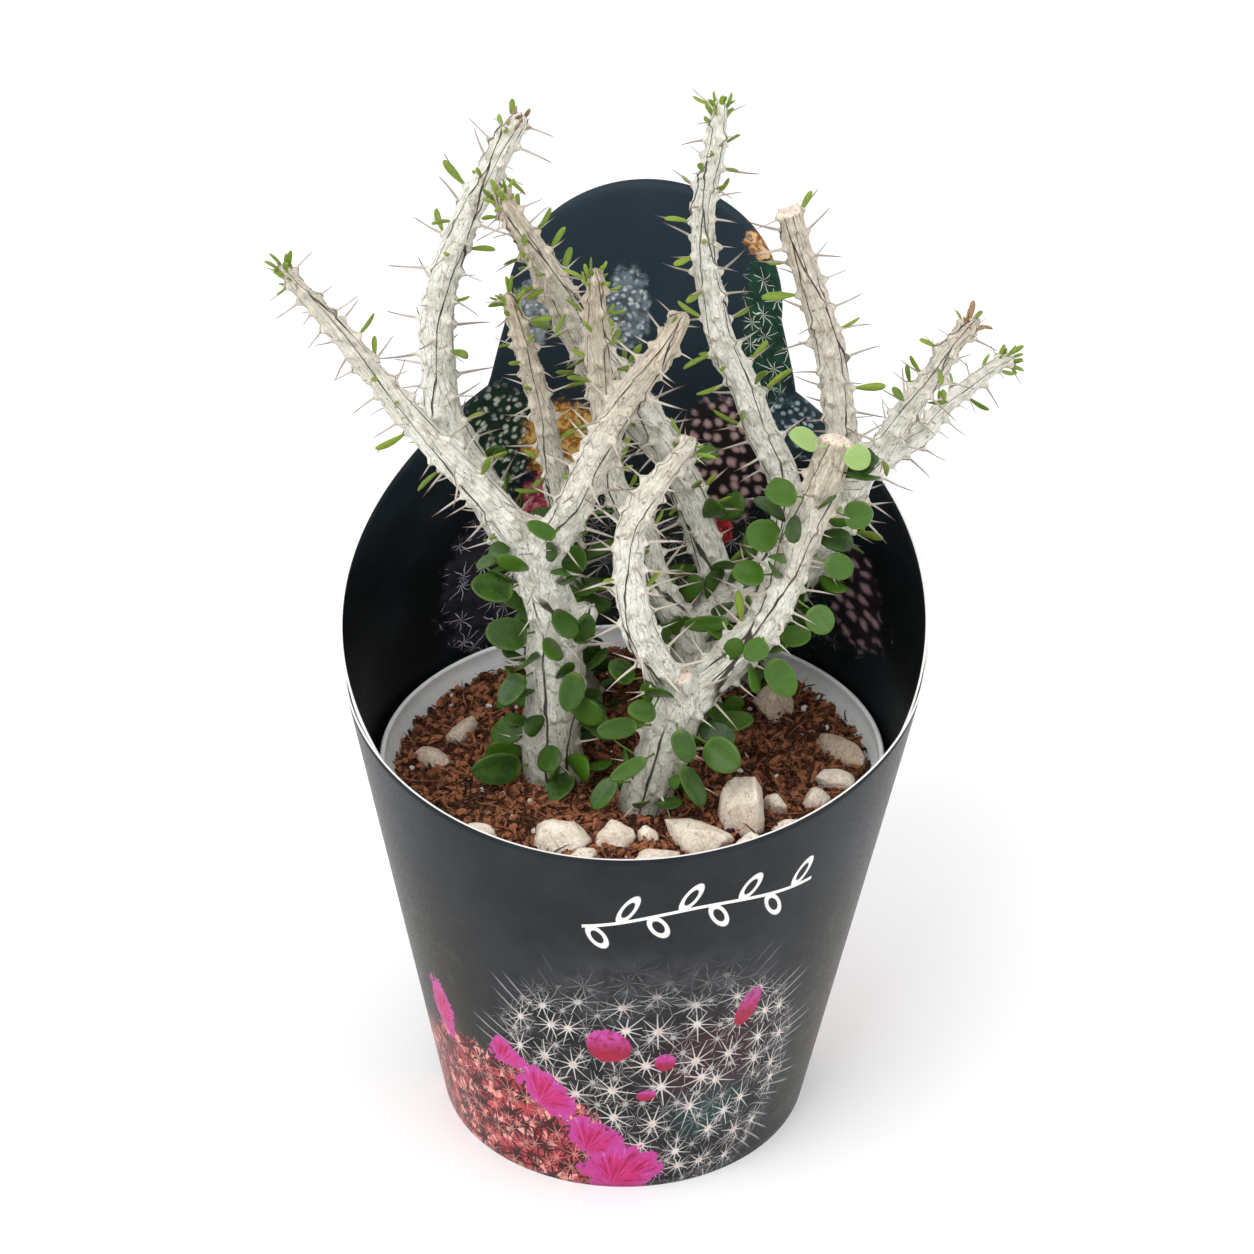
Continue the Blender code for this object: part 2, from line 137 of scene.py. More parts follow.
def noise(place, scale, detail=2.0, roughness=0.5, distortion=0.0):
    return put(place.tree, "ShaderNodeTexNoise", named={
        "Vector": place, "Scale": scale, "Detail": detail, "Roughness": roughness,
        "Distortion": distortion})[0]


def warped(place, scale, amount, detail=2.0, by=None):
    # a place pushed about by a cloudy noise, which may follow another place
    cloud = put(place.tree, "ShaderNodeTexNoise", named={
        "Vector": by or place, "Scale": scale, "Detail": detail})
    return vec("ADD", place, vec("SCALE", cloud[1], amount))


def flatCells(place, scale, randomness=1.0, feature="F1"):
    return put(place.tree, "ShaderNodeTexVoronoi", voronoi_dimensions="2D", feature=feature,
               named={"Vector": place, "Scale": scale, "Randomness": randomness})


def mix(factor, first, second):
    first, second = ((*value, 1.0) if isinstance(value, tuple) else value
                     for value in (first, second))
    return put(factor.tree, "ShaderNodeMix", factor, named={6: first, 7: second},
               data_type="RGBA")[2]


def attribute(tree, name, output="Fac"):
    return put(tree, "ShaderNodeAttribute", attribute_name=name)[output]


def objectPlace(tree):
    # object coordinates in millimetres
    return vec("SCALE", put(tree, "ShaderNodeTexCoord")["Object"], 1000.0)


def bump(height, strength, distance):
    return put(height.tree, "ShaderNodeBump", named={
        "Strength": strength, "Distance": distance, "Height": height})[0]


def newMaterial(name, **fixed):
    # a Principled material; fixed numbers go straight on the shader's sockets
    material = bpy.data.materials.new(name)
    material.use_nodes = True
    shader = material.node_tree.nodes["Principled BSDF"]
    for socket, value in fixed.items():
        shader.inputs[socket.replace("_", " ")].default_value = value
    return material, material.node_tree, shader


def dress(shader, colour=None, roughness=None, normal=None):
    for name, value in (("Base Color", colour), ("Roughness", roughness), ("Normal", normal)):
        if value is not None:
            feed(shader.inputs[name], value)


def newGroup(name, inputs):
    # a Geometry Nodes group with a geometry in and out, and the named inputs given
    group = bpy.data.node_groups.new(name, "GeometryNodeTree")
    group.interface.new_socket("Geometry", in_out="INPUT", socket_type="NodeSocketGeometry")
    for label, kind, value in inputs:
        socket = group.interface.new_socket(label, in_out="INPUT", socket_type="NodeSocket" + kind)
        if value is not None:
            socket.default_value = value
    group.interface.new_socket("Geometry", in_out="OUTPUT", socket_type="NodeSocketGeometry")
    return group, Outputs(group, group.nodes.new("NodeGroupInput"))


def closeGroup(group, shape, skin=None, smooth=False):
    # instances are made real and given their material before they leave the group
    if skin:
        shape = put(group, "GeometryNodeRealizeInstances", shape)[0]
        if smooth:
            shape = put(group, "GeometryNodeSetShadeSmooth", shape)[0]
        shape = put(group, "GeometryNodeSetMaterial", named={"Geometry": shape, "Material": skin})[0]
    feed(group.nodes.new("NodeGroupOutput").inputs[0], shape)
    return group


def move(shape, **where):
    return put(shape.tree, "GeometryNodeSetPosition", named={"Geometry": shape, **where})[0]


def store(shape, name, value, kind="FLOAT", domain="POINT"):
    return put(shape.tree, "GeometryNodeStoreNamedAttribute", data_type=kind, domain=domain,
               named={"Geometry": shape, "Name": name, "Value": value})[0]


def stored(group, name, kind="FLOAT"):
    return put(group, "GeometryNodeInputNamedAttribute", data_type=kind, named={"Name": name})[0]


def randomValue(seed, low=0.0, high=1.0):
    # a number between two numbers, or a vector between two vectors
    if isinstance(low, tuple):
        return put(seed.tree, "FunctionNodeRandomValue", data_type="FLOAT_VECTOR",
                   named={0: low, 1: high, "Seed": seed})[0]
    return put(seed.tree, "FunctionNodeRandomValue", data_type="FLOAT",
               named={2: low, 3: high, "Seed": seed})[1]


def addTree(target, group, **values):
    modifier = target.modifiers.new(group.name, "NODES")
    modifier.node_group = group
    for item in group.interface.items_tree:
        if item.item_type == "SOCKET" and item.in_out == "INPUT" and item.name in values:
            modifier[item.identifier] = values[item.name]


def drop(target):
    bpy.data.objects.remove(target, do_unlink=True)


def baked(target, name):
    # the evaluated mesh as a plain object; the working object goes away
    evaluated = target.evaluated_get(bpy.context.evaluated_depsgraph_get())
    mesh = bpy.data.meshes.new_from_object(evaluated)
    mesh.name = name
    done = addMesh(name, mesh)
    drop(target)
    done.name = name
    return done


def addMesh(name, mesh, *materials):
    made = bpy.data.objects.new(name, mesh)
    bpy.context.scene.collection.objects.link(made)
    for material in materials:
        made.data.materials.append(material)
    return made


def meshFrom(bm, name):
    mesh = bpy.data.meshes.new(name)
    bm.to_mesh(mesh)
    bm.free()
    mesh.polygons.foreach_set("use_smooth", [True] * len(mesh.polygons))
    return mesh


def setAttribute(mesh, name, values, kind="FLOAT"):
    layer = mesh.attributes.new(name, kind, "POINT")
    layer.data.foreach_set("vector" if kind == "FLOAT_VECTOR" else "value",
                           np.asarray(values, np.float32).ravel())


def pieceName(node):
    first, *others = node.split("_")
    return first + "".join(part.capitalize() for part in others)


def settle(piece, slot, *nodes):
    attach(piece, "root")
    if nodes:
        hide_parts(*nodes)


# camera, light and floor
stageValues = dict(viewDown=28.9, distance=566, target=(-1.2, 0, 129), lens=70,
                   worldLight=1.0, keyPower=9.0, fillPower=2.5, floorTone=0.93)


def makeStage(values):
    down = math.radians(values["viewDown"])
    camera = bpy.data.objects.new("camera", bpy.data.cameras.new("camera"))
    camera.data.lens = values["lens"]
    camera.data.clip_start = 0.01
    away = Vector((0, -math.cos(down), math.sin(down))) * values["distance"]
    camera.location = (Vector(values["target"]) + away) * mm
    camera.rotation_euler = (math.pi / 2 - down, 0, 0)
    bpy.context.scene.collection.objects.link(camera)
    bpy.context.scene.camera = camera

    world = bpy.data.worlds.new("studio")
    world.use_nodes = True
    background = world.node_tree.nodes["Background"]
    background.inputs["Color"].default_value = (1, 1, 1, 1)
    background.inputs["Strength"].default_value = values["worldLight"]
    bpy.context.scene.world = world
    bpy.context.scene.view_settings.view_transform = "Standard"

    for name, place, size, power in (
            ("keyLight", (-0.55, -0.65, 1.15), 0.9, values["keyPower"]),
            ("fillLight", (0.8, -0.35, 0.8), 1.0, values["fillPower"])):
        light = bpy.data.lights.new(name, "AREA")
        light.size = size
        light.energy = power
        lamp = bpy.data.objects.new(name, light)
        lamp.location = place
        lamp.rotation_euler = (Vector((0, 0, 0.12)) - Vector(place)).to_track_quat("-Z", "Y").to_euler()
        bpy.context.scene.collection.objects.link(lamp)

    material, _, shader = newMaterial("paleFloor", Roughness=0.9)
    shader.inputs["Base Color"].default_value = (*[values["floorTone"]] * 3, 1)
    bm = bmesh.new()
    bmesh.ops.create_circle(bm, cap_ends=True, radius=3.0, segments=64)
    floor = addMesh("floor", meshFrom(bm, "floor"), material)


makeStage(stageValues)
print("stage ready")

# nursery pot
potValues = dict(rimRadius=60.0, baseRadius=42.0, height=97.0, wall=1.3, floor=1.6, lip=5.0,
                 overhang=1.4, drains=6, drainRadius=3.5, drainCircle=30.0, steps=160)


def potWall(z, values=potValues):
    top = values["rimRadius"] - values["overhang"]
    return values["baseRadius"] + (top - values["baseRadius"]) * z / values["height"]


def lathe(name, profile, steps, *materials):
    bm = bmesh.new()
    corners = [bm.verts.new((x * mm, 0, z * mm)) for x, z in profile]
    for start, end in zip(corners, corners[1:]):
        bm.edges.new((start, end))
    bmesh.ops.spin(bm, geom=bm.verts[:] + bm.edges[:], angle=math.tau, steps=steps,
                   axis=(0, 0, 1), cent=(0, 0, 0), use_merge=True)
    bmesh.ops.remove_doubles(bm, verts=bm.verts, dist=0.000005)
    bmesh.ops.recalc_face_normals(bm, faces=bm.faces)
    return addMesh(name, meshFrom(bm, name), *materials)


def potMaterial():
    material, tree, shader = newMaterial("whitePolypropylene", IOR=1.49, Subsurface_Weight=0.12,
                                         Subsurface_Scale=0.004)
    place = objectPlace(tree)
    cloud = noise(place, 0.09, 3.0)
    grain = noise(place, 2.2, 2.0)
    # dust and damp marks from the mix
    dust = ramp(noise(place, 0.55, 5.0, 0.7), 0.52, 0.74) * 0.32
    colour = mix(cloud, (0.82, 0.835, 0.84), (0.92, 0.93, 0.93))
    colour = mix(dust, colour, (0.42, 0.33, 0.26))
    dress(shader, colour, ramp(grain, 0.3, 0.7, 0.34, 0.46), bump(grain, 0.12, 0.0002))
    return material


def makePot(values):
    lipFoot = values["height"] - values["lip"]
    rim, wall, top = values["rimRadius"], values["wall"], values["height"]
    profile = [(0, values["floor"]), (potWall(values["floor"]) - wall - 2, values["floor"]),
               (potWall(values["floor"]) - wall, values["floor"] + 2)]
    profile += [(potWall(z) - wall, z) for z in (30, 60, lipFoot - 2)]
    profile += [(rim - wall - 0.2, lipFoot + 1.5), (rim - wall, top - 1.4)]
    # rolled edge
    roll = wall / 2
    profile += [(rim - roll - roll * math.cos(turn), top - roll + roll * math.sin(turn))
                for turn in [math.pi * part / 10 for part in range(11)]]
    profile += [(rim, lipFoot + 0.6), (rim - 0.25, lipFoot + 0.15), (rim - 0.7, lipFoot),
                (potWall(lipFoot) + 0.15, lipFoot - 0.1), (potWall(lipFoot - 1), lipFoot - 1)]
    profile += [(potWall(z), z) for z in (60, 30, 3)]
    profile += [(values["baseRadius"] - 0.2, 1.0), (values["baseRadius"] - 1.0, 0.15),
                (values["baseRadius"] - 2.0, 0.0), (0, 0)]
    pot = lathe("nurseryPot", profile, values["steps"], potMaterial())
    cutters = []
    for index in range(values["drains"]):
        turn = math.tau * (index + 0.5) / values["drains"]
        bm = bmesh.new()
        bmesh.ops.create_cone(bm, cap_ends=True, segments=32, depth=6 * mm,
                              radius1=values["drainRadius"] * mm, radius2=values["drainRadius"] * mm)
        cutter = addMesh("drainCutter", meshFrom(bm, "drainCutter"))
        cutter.location = (values["drainCircle"] * mm * math.cos(turn),
                           values["drainCircle"] * mm * math.sin(turn), 0.5 * mm)
        hole = pot.modifiers.new("drain", "BOOLEAN")
        hole.operation, hole.object = "DIFFERENCE", cutter
        cutters.append(cutter)
    pot = baked(pot, "nurseryPot")
    for cutter in cutters:
        drop(cutter)
    settle(pot, "pot_plastic", "nursery_pot")


makePot(potValues)
print("nursery pot made")

# card sleeve: a printed wrap and a taller card inside it, both bent to one flared shape
sleeveValues = dict(card=0.5, gap=0.3, foot=46.0, rim=63.27, rimHeight=97.0, lift=0.3, askew=-2.0,
                    front=108.5, back=139.0, slant=2.0, cardFoot=3.0, halfAngle=124.0,
                    shoulder=162.0, slope=0.56, neck=31.3, dome=26.5, domeFoot=178.0,
                    domeTop=209.5, domeTurn=1.0, ripple=0.22)


def sleeveRadius(around, z, values=sleeveValues):
    flare = values["foot"] + (values["rim"] - values["foot"]) * z / values["rimHeight"]
    share = max(0.0, z / 140.0)
    return flare + values["ripple"] * share * (math.sin(3 * around + 0.8) + 0.6 * math.sin(
        5 * around + z * 0.02))


def wrapTop(around, values=sleeveValues):
    fall = values["back"] - values["front"]
    return values["back"] + values["slant"] * math.sin(around) - fall * (1 + math.cos(around)) / 2


def cardTop(around, values=sleeveValues):
    # shoulders that fall away either side of a dome
    degrees = math.degrees(math.pi - around)
    shoulder = values["shoulder"] - values["slope"] * (abs(degrees) - values["neck"])
    fromDome = abs(degrees - values["domeTurn"])
    if fromDome < values["dome"]:
        rise = values["domeTop"] - values["domeFoot"]
        return values["domeFoot"] + rise * math.sqrt(1 - (fromDome / values["dome"]) ** 2)
    if fromDome < values["neck"]:
        share = (fromDome - values["dome"]) / (values["neck"] - values["dome"])
        return max(shoulder, values["domeFoot"] + (values["shoulder"] - values["domeFoot"]) * share)
    # the free ends are rounded where they tuck into the wrap
    return shoulder - 3.0 * max(0.0, (abs(degrees) - values["halfAngle"] + 5) / 5) ** 2


def cardSheet(name, angles, closed, bottom, topOf, inset, rows, materials, values=sleeveValues):
    # outer face, inner face and cut edges of one bent sheet, in three material slots
    bm = bmesh.new()
    columns = []
    for around in angles:
        top = topOf(around)
        pair = []
        for depth in (inset, inset + values["card"]):
            column = []
            for row in range(rows + 1):
                share = row / rows
                z = bottom + (top - bottom) * share
                radius = sleeveRadius(around, z) - depth
                shift = values["askew"] * (1 - z / values["rimHeight"])
                column.append(bm.verts.new(((radius * math.sin(around) + shift) * mm,
                                            -radius * math.cos(around) * mm, z * mm)))
            pair.append(column)
        columns.append(pair)
    following = columns[1:] + (columns[:1] if closed else [])

    def face(corners, slot):
        bm.faces.new(corners).material_index = slot

    for here, there in zip(columns, following):
        for row in range(rows):
            face((here[0][row], there[0][row], there[0][row + 1], here[0][row + 1]), 0)
            face((there[1][row], here[1][row], here[1][row + 1], there[1][row + 1]), 1)
        face((here[0][-1], there[0][-1], there[1][-1], here[1][-1]), 2)
        face((there[0][0], here[0][0], here[1][0], there[1][0]), 2)
    if not closed:
        for pair, turned in ((columns[0], True), (columns[-1], False)):
            for row in range(rows):
                corners = [pair[0][row], pair[1][row], pair[1][row + 1], pair[0][row + 1]]
                face(corners[::-1] if turned else corners, 2)
    mesh = meshFrom(bm, name)
    mesh.polygons.foreach_set("use_smooth", [part.material_index < 2 for part in mesh.polygons])
    return addMesh(name, mesh, *materials)


# printed patterns, drawn in millimetres across and up the card
def oval(across, up, centre, radii, turn=0.0):
    # distance from an oval's middle, 1 on its edge
    x, y = across - centre[0], up - centre[1]
    if turn:
        cosine, sine = math.cos(math.radians(turn)), math.sin(math.radians(turn))
        x, y = x * cosine + y * sine, y * cosine - x * sine
    return vec("LENGTH", xyz(x / radii[0], y / radii[1], 0.0))


def starSpines(flat, spacing, rays, reach, width, scatter, shift):
    # thin rays round scattered middles; returns the rays and the woolly middles
    moved = vec("ADD", flat, (shift, shift * 0.6, 0.0))
    cells = flatCells(moved, 1.0 / spacing, scatter)
    away = vec("SUBTRACT", moved, cells["Position"])
    parts, radius = split(away), vec("LENGTH", away)
    chance = put(flat.tree, "ShaderNodeSeparateColor", cells["Color"])[0]
    ray = calc("ARCTAN2", parts["Y"], parts["X"]) * (rays / math.tau) + chance * 9.0
    uneven = calc("SINE", (calc("FLOOR", ray) + chance) * 7.7) * 0.28
    aside = abs(calc("FRACT", ray) - 0.5) * radius * (math.tau / rays)
    # each star has its own reach and each ray its own length
    share = radius / ((0.72 + chance * 0.36) * reach * (0.86 + uneven))
    thin = calc("MAXIMUM", (1.15 - share) * width, 0.001)
    spines = ramp(aside / thin, 0.6, 1.25, 1, 0) * ramp(share, 0.9, 1.02, 1, 0)
    return spines, ramp(radius, 0.09 * reach, 0.17 * reach, 1, 0)


def cardShader(name, roughness=0.34):
    material, tree, shader = newMaterial(name, Specular_IOR_Level=0.14)
    place = objectPlace(tree)
    fibre = noise(place, 1.4, 3.0, 0.6)
    dress(shader, roughness=ramp(fibre, 0.3, 0.7, roughness - 0.05, roughness + 0.07),
          normal=bump(fibre, 0.06, 0.0002))
    return material, shader, place


# ball is its middle and radii; buds and petals are (middle, radii, turn)
wrapPrint = dict(reach=62.0, repeat=194.779, top=(0.011, 0.014, 0.017),
                 mist=(0.060, 0.062, 0.074), ball=(6.0, 33.0, 45.0, 44.0), sprigFrom=-11.0,
                 sprigTo=43.0, sprigHeight=90.3, sprigCell=6.75,
                 buds=[((-5, 50), (6.4, 5.6), -30), ((31.5, 57), (3.2, 6.4), -20),
                       ((10, 44), (3.0, 3.0), 0), ((5.5, 33), (3.0, 2.0), 10)],
                 petals=[((-9, 17), (12, 7.5), -42), ((-23, 31), (12, 7), -38),
                         ((-35, 40), (7, 5), -20), ((-59, 43), (6, 10), 10), ((-1, 6), (15, 11), 15)])


def flatWrap(place, values, sleeve=sleeveValues):
    # the wrap laid flat: how far round from the front, how high, and 1 on its first time round
    parts = split(place)
    centred = parts["X"] + (sleeve["rimHeight"] - parts["Z"]) * (-sleeve["askew"] / sleeve["rimHeight"])
    around = calc("ARCTAN2", centred, parts["Y"] * -1.0) * values["reach"]
    half = values["repeat"] / 2
    return calc("WRAP", around, half, -half), parts["Z"], calc("LESS_THAN", abs(around), half)


def ballPrint(colour, across, up, flat, blotch, crisp, values):
    # the round cactus: a dark body under white stars that fade upwards into mist
    middle, radii = values["ball"][:2], values["ball"][2:]
    ball = oval(across, up, middle, radii)
    inside = ramp(ball + crisp * 0.10, 1.07, 0.97)
    body = mix(ramp(blotch, 0.4, 0.7), (0.007, 0.008, 0.008), (0.030, 0.026, 0.028))
    teal = ramp(oval(across, up, (24, 26), (17, 15)), 1.0, 0.2)
    body = mix(teal * 0.8, body, (0.010, 0.050, 0.050))
    maroon = ramp(oval(across, up, (22, 42), (24, 20)), 1.0, 0.3)
    body = mix(maroon * blotch * 0.9, body, (0.060, 0.012, 0.022))
    colour = mix(inside, colour, body)
    # stars sit closer together towards the ball's edge
    fromMiddle = vec("SUBTRACT", flat, (*middle, 0.0))
    ballPlace = vec("SCALE", fromMiddle, 1.0 + ball ** 3.0 * 0.22)
    rays, middles = starSpines(ballPlace, 10.6, 10, 9.4, 0.25, 0.6, 2.0)
    more, smaller = starSpines(ballPlace, 8.3, 9, 6.0, 0.20, 0.75, 37.0)
    wispy, _ = starSpines(warped(flat, 0.12, 3.0), 9.5, 9, 9.5, 0.17, 0.9, 81.0)
    fringe = ramp(ball, 1.14, 0.90) * ramp(up, 82.0, 64.0)
    colour = mix(wispy * (fringe * 0.55), colour, (0.42, 0.38, 0.38))
    # long loose spines at the ball's sides
    aim = split(fromMiddle)
    spoke = calc("ARCTAN2", aim["Y"], aim["X"]) * 14.0 + ball * 1.6
    strand = ramp(abs(calc("FRACT", spoke) - 0.5), 0.035, 0.10, 1, 0)
    lengths = calc("SINE", calc("FLOOR", spoke) * 5.1) * 0.08
    strand = strand * ramp(ball - lengths, 1.00, 1.14, 1, 0)
    strand = strand * (ramp(ball, 0.80, 0.92) * ramp(abs(aim["X"]), 22.0, 38.0))
    colour = mix(strand * 0.75, colour, (0.40, 0.36, 0.36))
    fade = ramp(up, 74.0, 58.0) * inside
    wool = mix(ramp(crisp, 0.4, 0.62), (0.66, 0.63, 0.59), (0.56, 0.38, 0.34))
    for mask, strength, paint in (
            (more, 0.5, (0.42, 0.40, 0.38)), (smaller, 0.5, (0.50, 0.48, 0.45)),
            (rays, 0.93, (0.56, 0.54, 0.51)), (middles, 0.95, wool)):
        colour = mix(mask * (fade * strength), colour, paint)
    return colour


def budPrint(colour, across, up, crisp, values):
    # small fruits and a large bud between the stars
    for centre, radii, turn in values["buds"]:
        near = oval(across, up, centre, radii, turn) + (crisp - 0.5) * 0.35
        shade = mix(ramp(up, centre[1] - radii[1] * 0.5, centre[1] + radii[1] * 0.7),
                    (0.33, 0.018, 0.045), (0.50, 0.07, 0.33))
        shade = mix(ramp(crisp, 0.4, 0.7), shade, (0.26, 0.012, 0.05))
        colour = mix(ramp(near, 1.0, 0.88), colour, shade)
    return colour


def hazePrint(colour, across, up, blotch, values):
    # mist over the top of the ball
    haze = ramp(up, 52.0, 68.0) * ramp(up, 90.0, 72.0)
    haze = haze * ramp(oval(across, up, (8, 66), (44, 22)), 1.0, 0.35)
    return mix(haze * ramp(blotch, 0.3, 0.7, 0.15, 0.6), colour, values["mist"])


def pinkPrint(colour, across, up, flat, blotch, crisp):
    # the needly pink cactus in the lower left corner
    corner = oval(across, up, (-45, -1), (49, 40)) + (crisp - 0.5) * 0.22
    patches = flatCells(warped(flat, 0.35, 3.0), 0.42)["Color"]
    chance = put(flat.tree, "ShaderNodeSeparateColor", patches)
    pink = mix(chance[0], (0.12, 0.012, 0.014), (0.52, 0.070, 0.085))
    pink = mix(ramp(chance[1], 0.70, 0.84), pink, (0.78, 0.34, 0.30))
    pink = mix(ramp(blotch, 0.50, 0.68), pink, (0.30, 0.030, 0.040))
    dark, _ = starSpines(flat, 7.4, 7, 8.0, 0.66, 0.9, 11.0)
    second, _ = starSpines(flat, 5.6, 6, 6.0, 0.46, 0.95, 53.0)
    needles, _ = starSpines(flat, 5.4, 8, 5.0, 0.20, 0.9, 29.0)
    pink = mix(calc("MAXIMUM", dark, second * 0.9) * 0.92, pink, (0.022, 0.006, 0.006))
    pink = mix(needles * 0.5, pink, (0.80, 0.36, 0.30))
    return mix(ramp(corner, 1.02, 0.96), colour, pink)


def petalPrint(colour, across, up, blotch, crisp, values):
    # jagged petals, streaked outwards from a point below each one's middle
    for centre, radii, turn in values["petals"]:
        away = xyz(across - (centre[0] - 3.0), up - (centre[1] - 5.0), 0.0)
        ways = split(away)
        spoke = calc("ARCTAN2", ways["Y"], ways["X"]) * 3.2
        jagged = oval(across, up, centre, radii, turn) + (crisp * 0.7 + (blotch - 0.5) * 1.3)
        near = jagged - abs(calc("SINE", spoke)) * 0.15
        streak = noise(xyz(spoke * 2.2, vec("LENGTH", away) * 0.12, 0.0), 1.0, 3.0, 0.6)
        petal = mix(ramp(streak, 0.3, 0.6), (0.27, 0.006, 0.040), (0.54, 0.030, 0.175))
        petal = mix(ramp(near + streak, 1.05, 1.5), petal, (0.47, 0.050, 0.27))
        petal = mix(ramp(streak, 0.60, 0.74) * 0.5, petal, (0.72, 0.22, 0.52))
        petal = mix(ramp(crisp, 0.60, 0.68) * 0.5, petal, (0.20, 0.006, 0.04))
        colour = mix(ramp(near, 1.12, 1.04), colour, petal)
    return colour


def sprigPrint(colour, across, up, onceRound, values):
    # a drawn white sprig: a waving stem with an outlined leaf in each cell, by turns above and below
    start, cellWidth = values["sprigFrom"], values["sprigCell"]
    above = up - (values["sprigHeight"] + (calc("SINE", across * 0.11) * 1.6 + across * 0.075))
    stroke = ramp(abs(above), 0.36, 0.54, 1, 0)
    cell = (across - start) / cellWidth
    odd = calc("MODULO", calc("FLOOR", cell), 2.0) * 2.0 - 1.0
    a, b = (calc("FRACT", cell) - 0.5) * cellWidth, above * odd - 3.5
    # leaves lean by 60 degrees
    leaf = vec("LENGTH", xyz((a * 0.5 + b * 0.866) / 3.9, (b * 0.5 - a * 0.866) / 1.7, 0.0))
    outline = ramp(abs(leaf - 0.84), 0.16, 0.30, 1, 0)
    within = calc("GREATER_THAN", across, start) * calc("LESS_THAN", across, values["sprigTo"])
    drawn = calc("MAXIMUM", stroke, outline) * (within * onceRound)
    return mix(drawn, colour, (0.88, 0.87, 0.84))


def wrapMaterial(values):
    material, shader, place = cardShader("printedWrap")
    across, up, onceRound = flatWrap(place, values)
    flat = xyz(across, up, 0.0)
    cloud, blotch, crisp = (noise(flat, scale, 4.0, rough) for scale, rough in (
        (0.05, 0.6), (0.16, 0.6), (0.55, 0.65)))
    colour = mix(ramp(cloud, 0.35, 0.65), values["top"], (0.018, 0.022, 0.027))
    # darker and browner towards the lower sides, with a little moss green
    sides = ramp(abs(across - 4.0), 34.0, 60.0) * ramp(up, 92.0, 62.0)
    colour = mix(sides, colour, (0.019, 0.016, 0.011))
    colour = mix(ramp(blotch, 0.52, 0.66) * sides * 0.6, colour, (0.050, 0.052, 0.028))
    colour = ballPrint(colour, across, up, flat, blotch, crisp, values)
    colour = budPrint(colour, across, up, crisp, values)
    colour = hazePrint(colour, across, up, blotch, values)
    colour = pinkPrint(colour, across, up, flat, blotch, crisp)
    colour = petalPrint(colour, across, up, blotch, crisp, values)
    dress(shader, sprigPrint(colour, across, up, onceRound, values))
    return material


# pictures on the inner card: (middle, radii, pattern, ground colour, colour of the pattern)
insidePictures = [
    ((6, 112), (52, 20), "stars", (0.020, 0.028, 0.022), (0.36, 0.34, 0.36)),
    ((-39, 112), (9, 17), "stars", (0.035, 0.030, 0.045), (0.68, 0.64, 0.72)),
    ((55, 117), (6, 12), "knobs", (0.030, 0.018, 0.022), (0.52, 0.34, 0.38)),
    ((-34, 148), (10, 15), "beads", (0.010, 0.030, 0.016), (0.62, 0.66, 0.56)),
    ((-19, 130), (10, 11), "petals", (0.34, 0.045, 0.075), (0.62, 0.20, 0.22)),
    ((-18, 146), (10, 10), "petals", (0.42, 0.17, 0.030), (0.66, 0.42, 0.12)),
    ((41, 153), (9, 8), "beads", (0.030, 0.055, 0.070), (0.50, 0.66, 0.74)),
    ((24, 142), (12, 16), "knobs", (0.018, 0.009, 0.010), (0.50, 0.34, 0.33)),
    ((22, 123), (4, 5), "petals", (0.42, 0.020, 0.030), (0.60, 0.10, 0.10)),
    ((34, 176), (7, 20), "stars", (0.014, 0.062, 0.036), (0.74, 0.74, 0.66)),
    ((34, 196), (6.5, 4.5), "petals", (0.34, 0.12, 0.035), (0.72, 0.50, 0.26)),
    ((-1, 178), (6, 11), "beads", (0.14, 0.18, 0.21), (0.60, 0.64, 0.66)),
    ((-25, 178), (5, 9), "beads", (0.20, 0.23, 0.25), (0.58, 0.62, 0.64)),
]


def insideMaterial(pictures):
    material, shader, place = cardShader("printedInside", 0.38)
    parts = split(place)
    across, up, front = parts["X"], parts["Z"], ramp(parts["Y"], 4.0, 20.0)
    flat = xyz(across, up, 0.0)
    cloud, crisp = noise(flat, 0.045, 3.0, 0.5), noise(flat, 0.42, 4.0, 0.65)
    colour = mix(ramp(up, 120.0, 185.0), (0.0045, 0.006, 0.0075), (0.014, 0.026, 0.036))
    colour = mix(ramp(cloud, 0.45, 0.75, 0.0, 0.5), colour, (0.024, 0.040, 0.052))
    loose = warped(flat, 0.28, 2.4)
    stars, middles = starSpines(loose, 5.4, 8, 4.6, 0.20, 0.9, 5.0)
    knobs, beads = flatCells(loose, 1 / 3.2, 0.6), flatCells(loose, 1 / 1.9, 0.9)
    patterns = {
        "stars": calc("MAXIMUM", stars, middles),
        "knobs": ramp(knobs["Distance"], 0.46, 0.10),
        "beads": ramp(beads["Distance"], 0.44, 0.12) * ramp(crisp, 0.36, 0.6),
        "petals": ramp(noise(flat, 0.5, 3.0, 0.6, 1.2), 0.46, 0.62),
    }
    for middle, radii, pattern, ground, ink in pictures:
        near = oval(across, up, middle, radii) + (crisp - 0.5) * 0.9
        shade = mix(ramp(crisp, 0.35, 0.65, 0.0, 0.7), ground, (0.008, 0.010, 0.010))
        shade = mix(patterns[pattern] * 0.85, shade, ink)
        colour = mix(ramp(near, 1.05, 0.78) * front, colour, shade)
    dress(shader, colour)
    return material


def plainCard(name, tone):
    material, tree, shader = newMaterial(name, Specular_IOR_Level=0.35)
    place = objectPlace(tree)
    fibre = noise(vec("MULTIPLY", place, (1.0, 1.0, 0.3)), 1.8, 5.0, 0.7)
    smudge = noise(place, 0.06, 3.0)
    colour = mix(fibre, tuple((part * 0.9 for part in tone)), tone)
    colour = mix(ramp(smudge, 0.5, 0.8, 0.0, 0.25), colour, (0.58, 0.55, 0.5))
    dress(shader, colour, ramp(fibre, 0.3, 0.7, 0.62, 0.78), bump(fibre, 0.2, 0.0002))
    return material


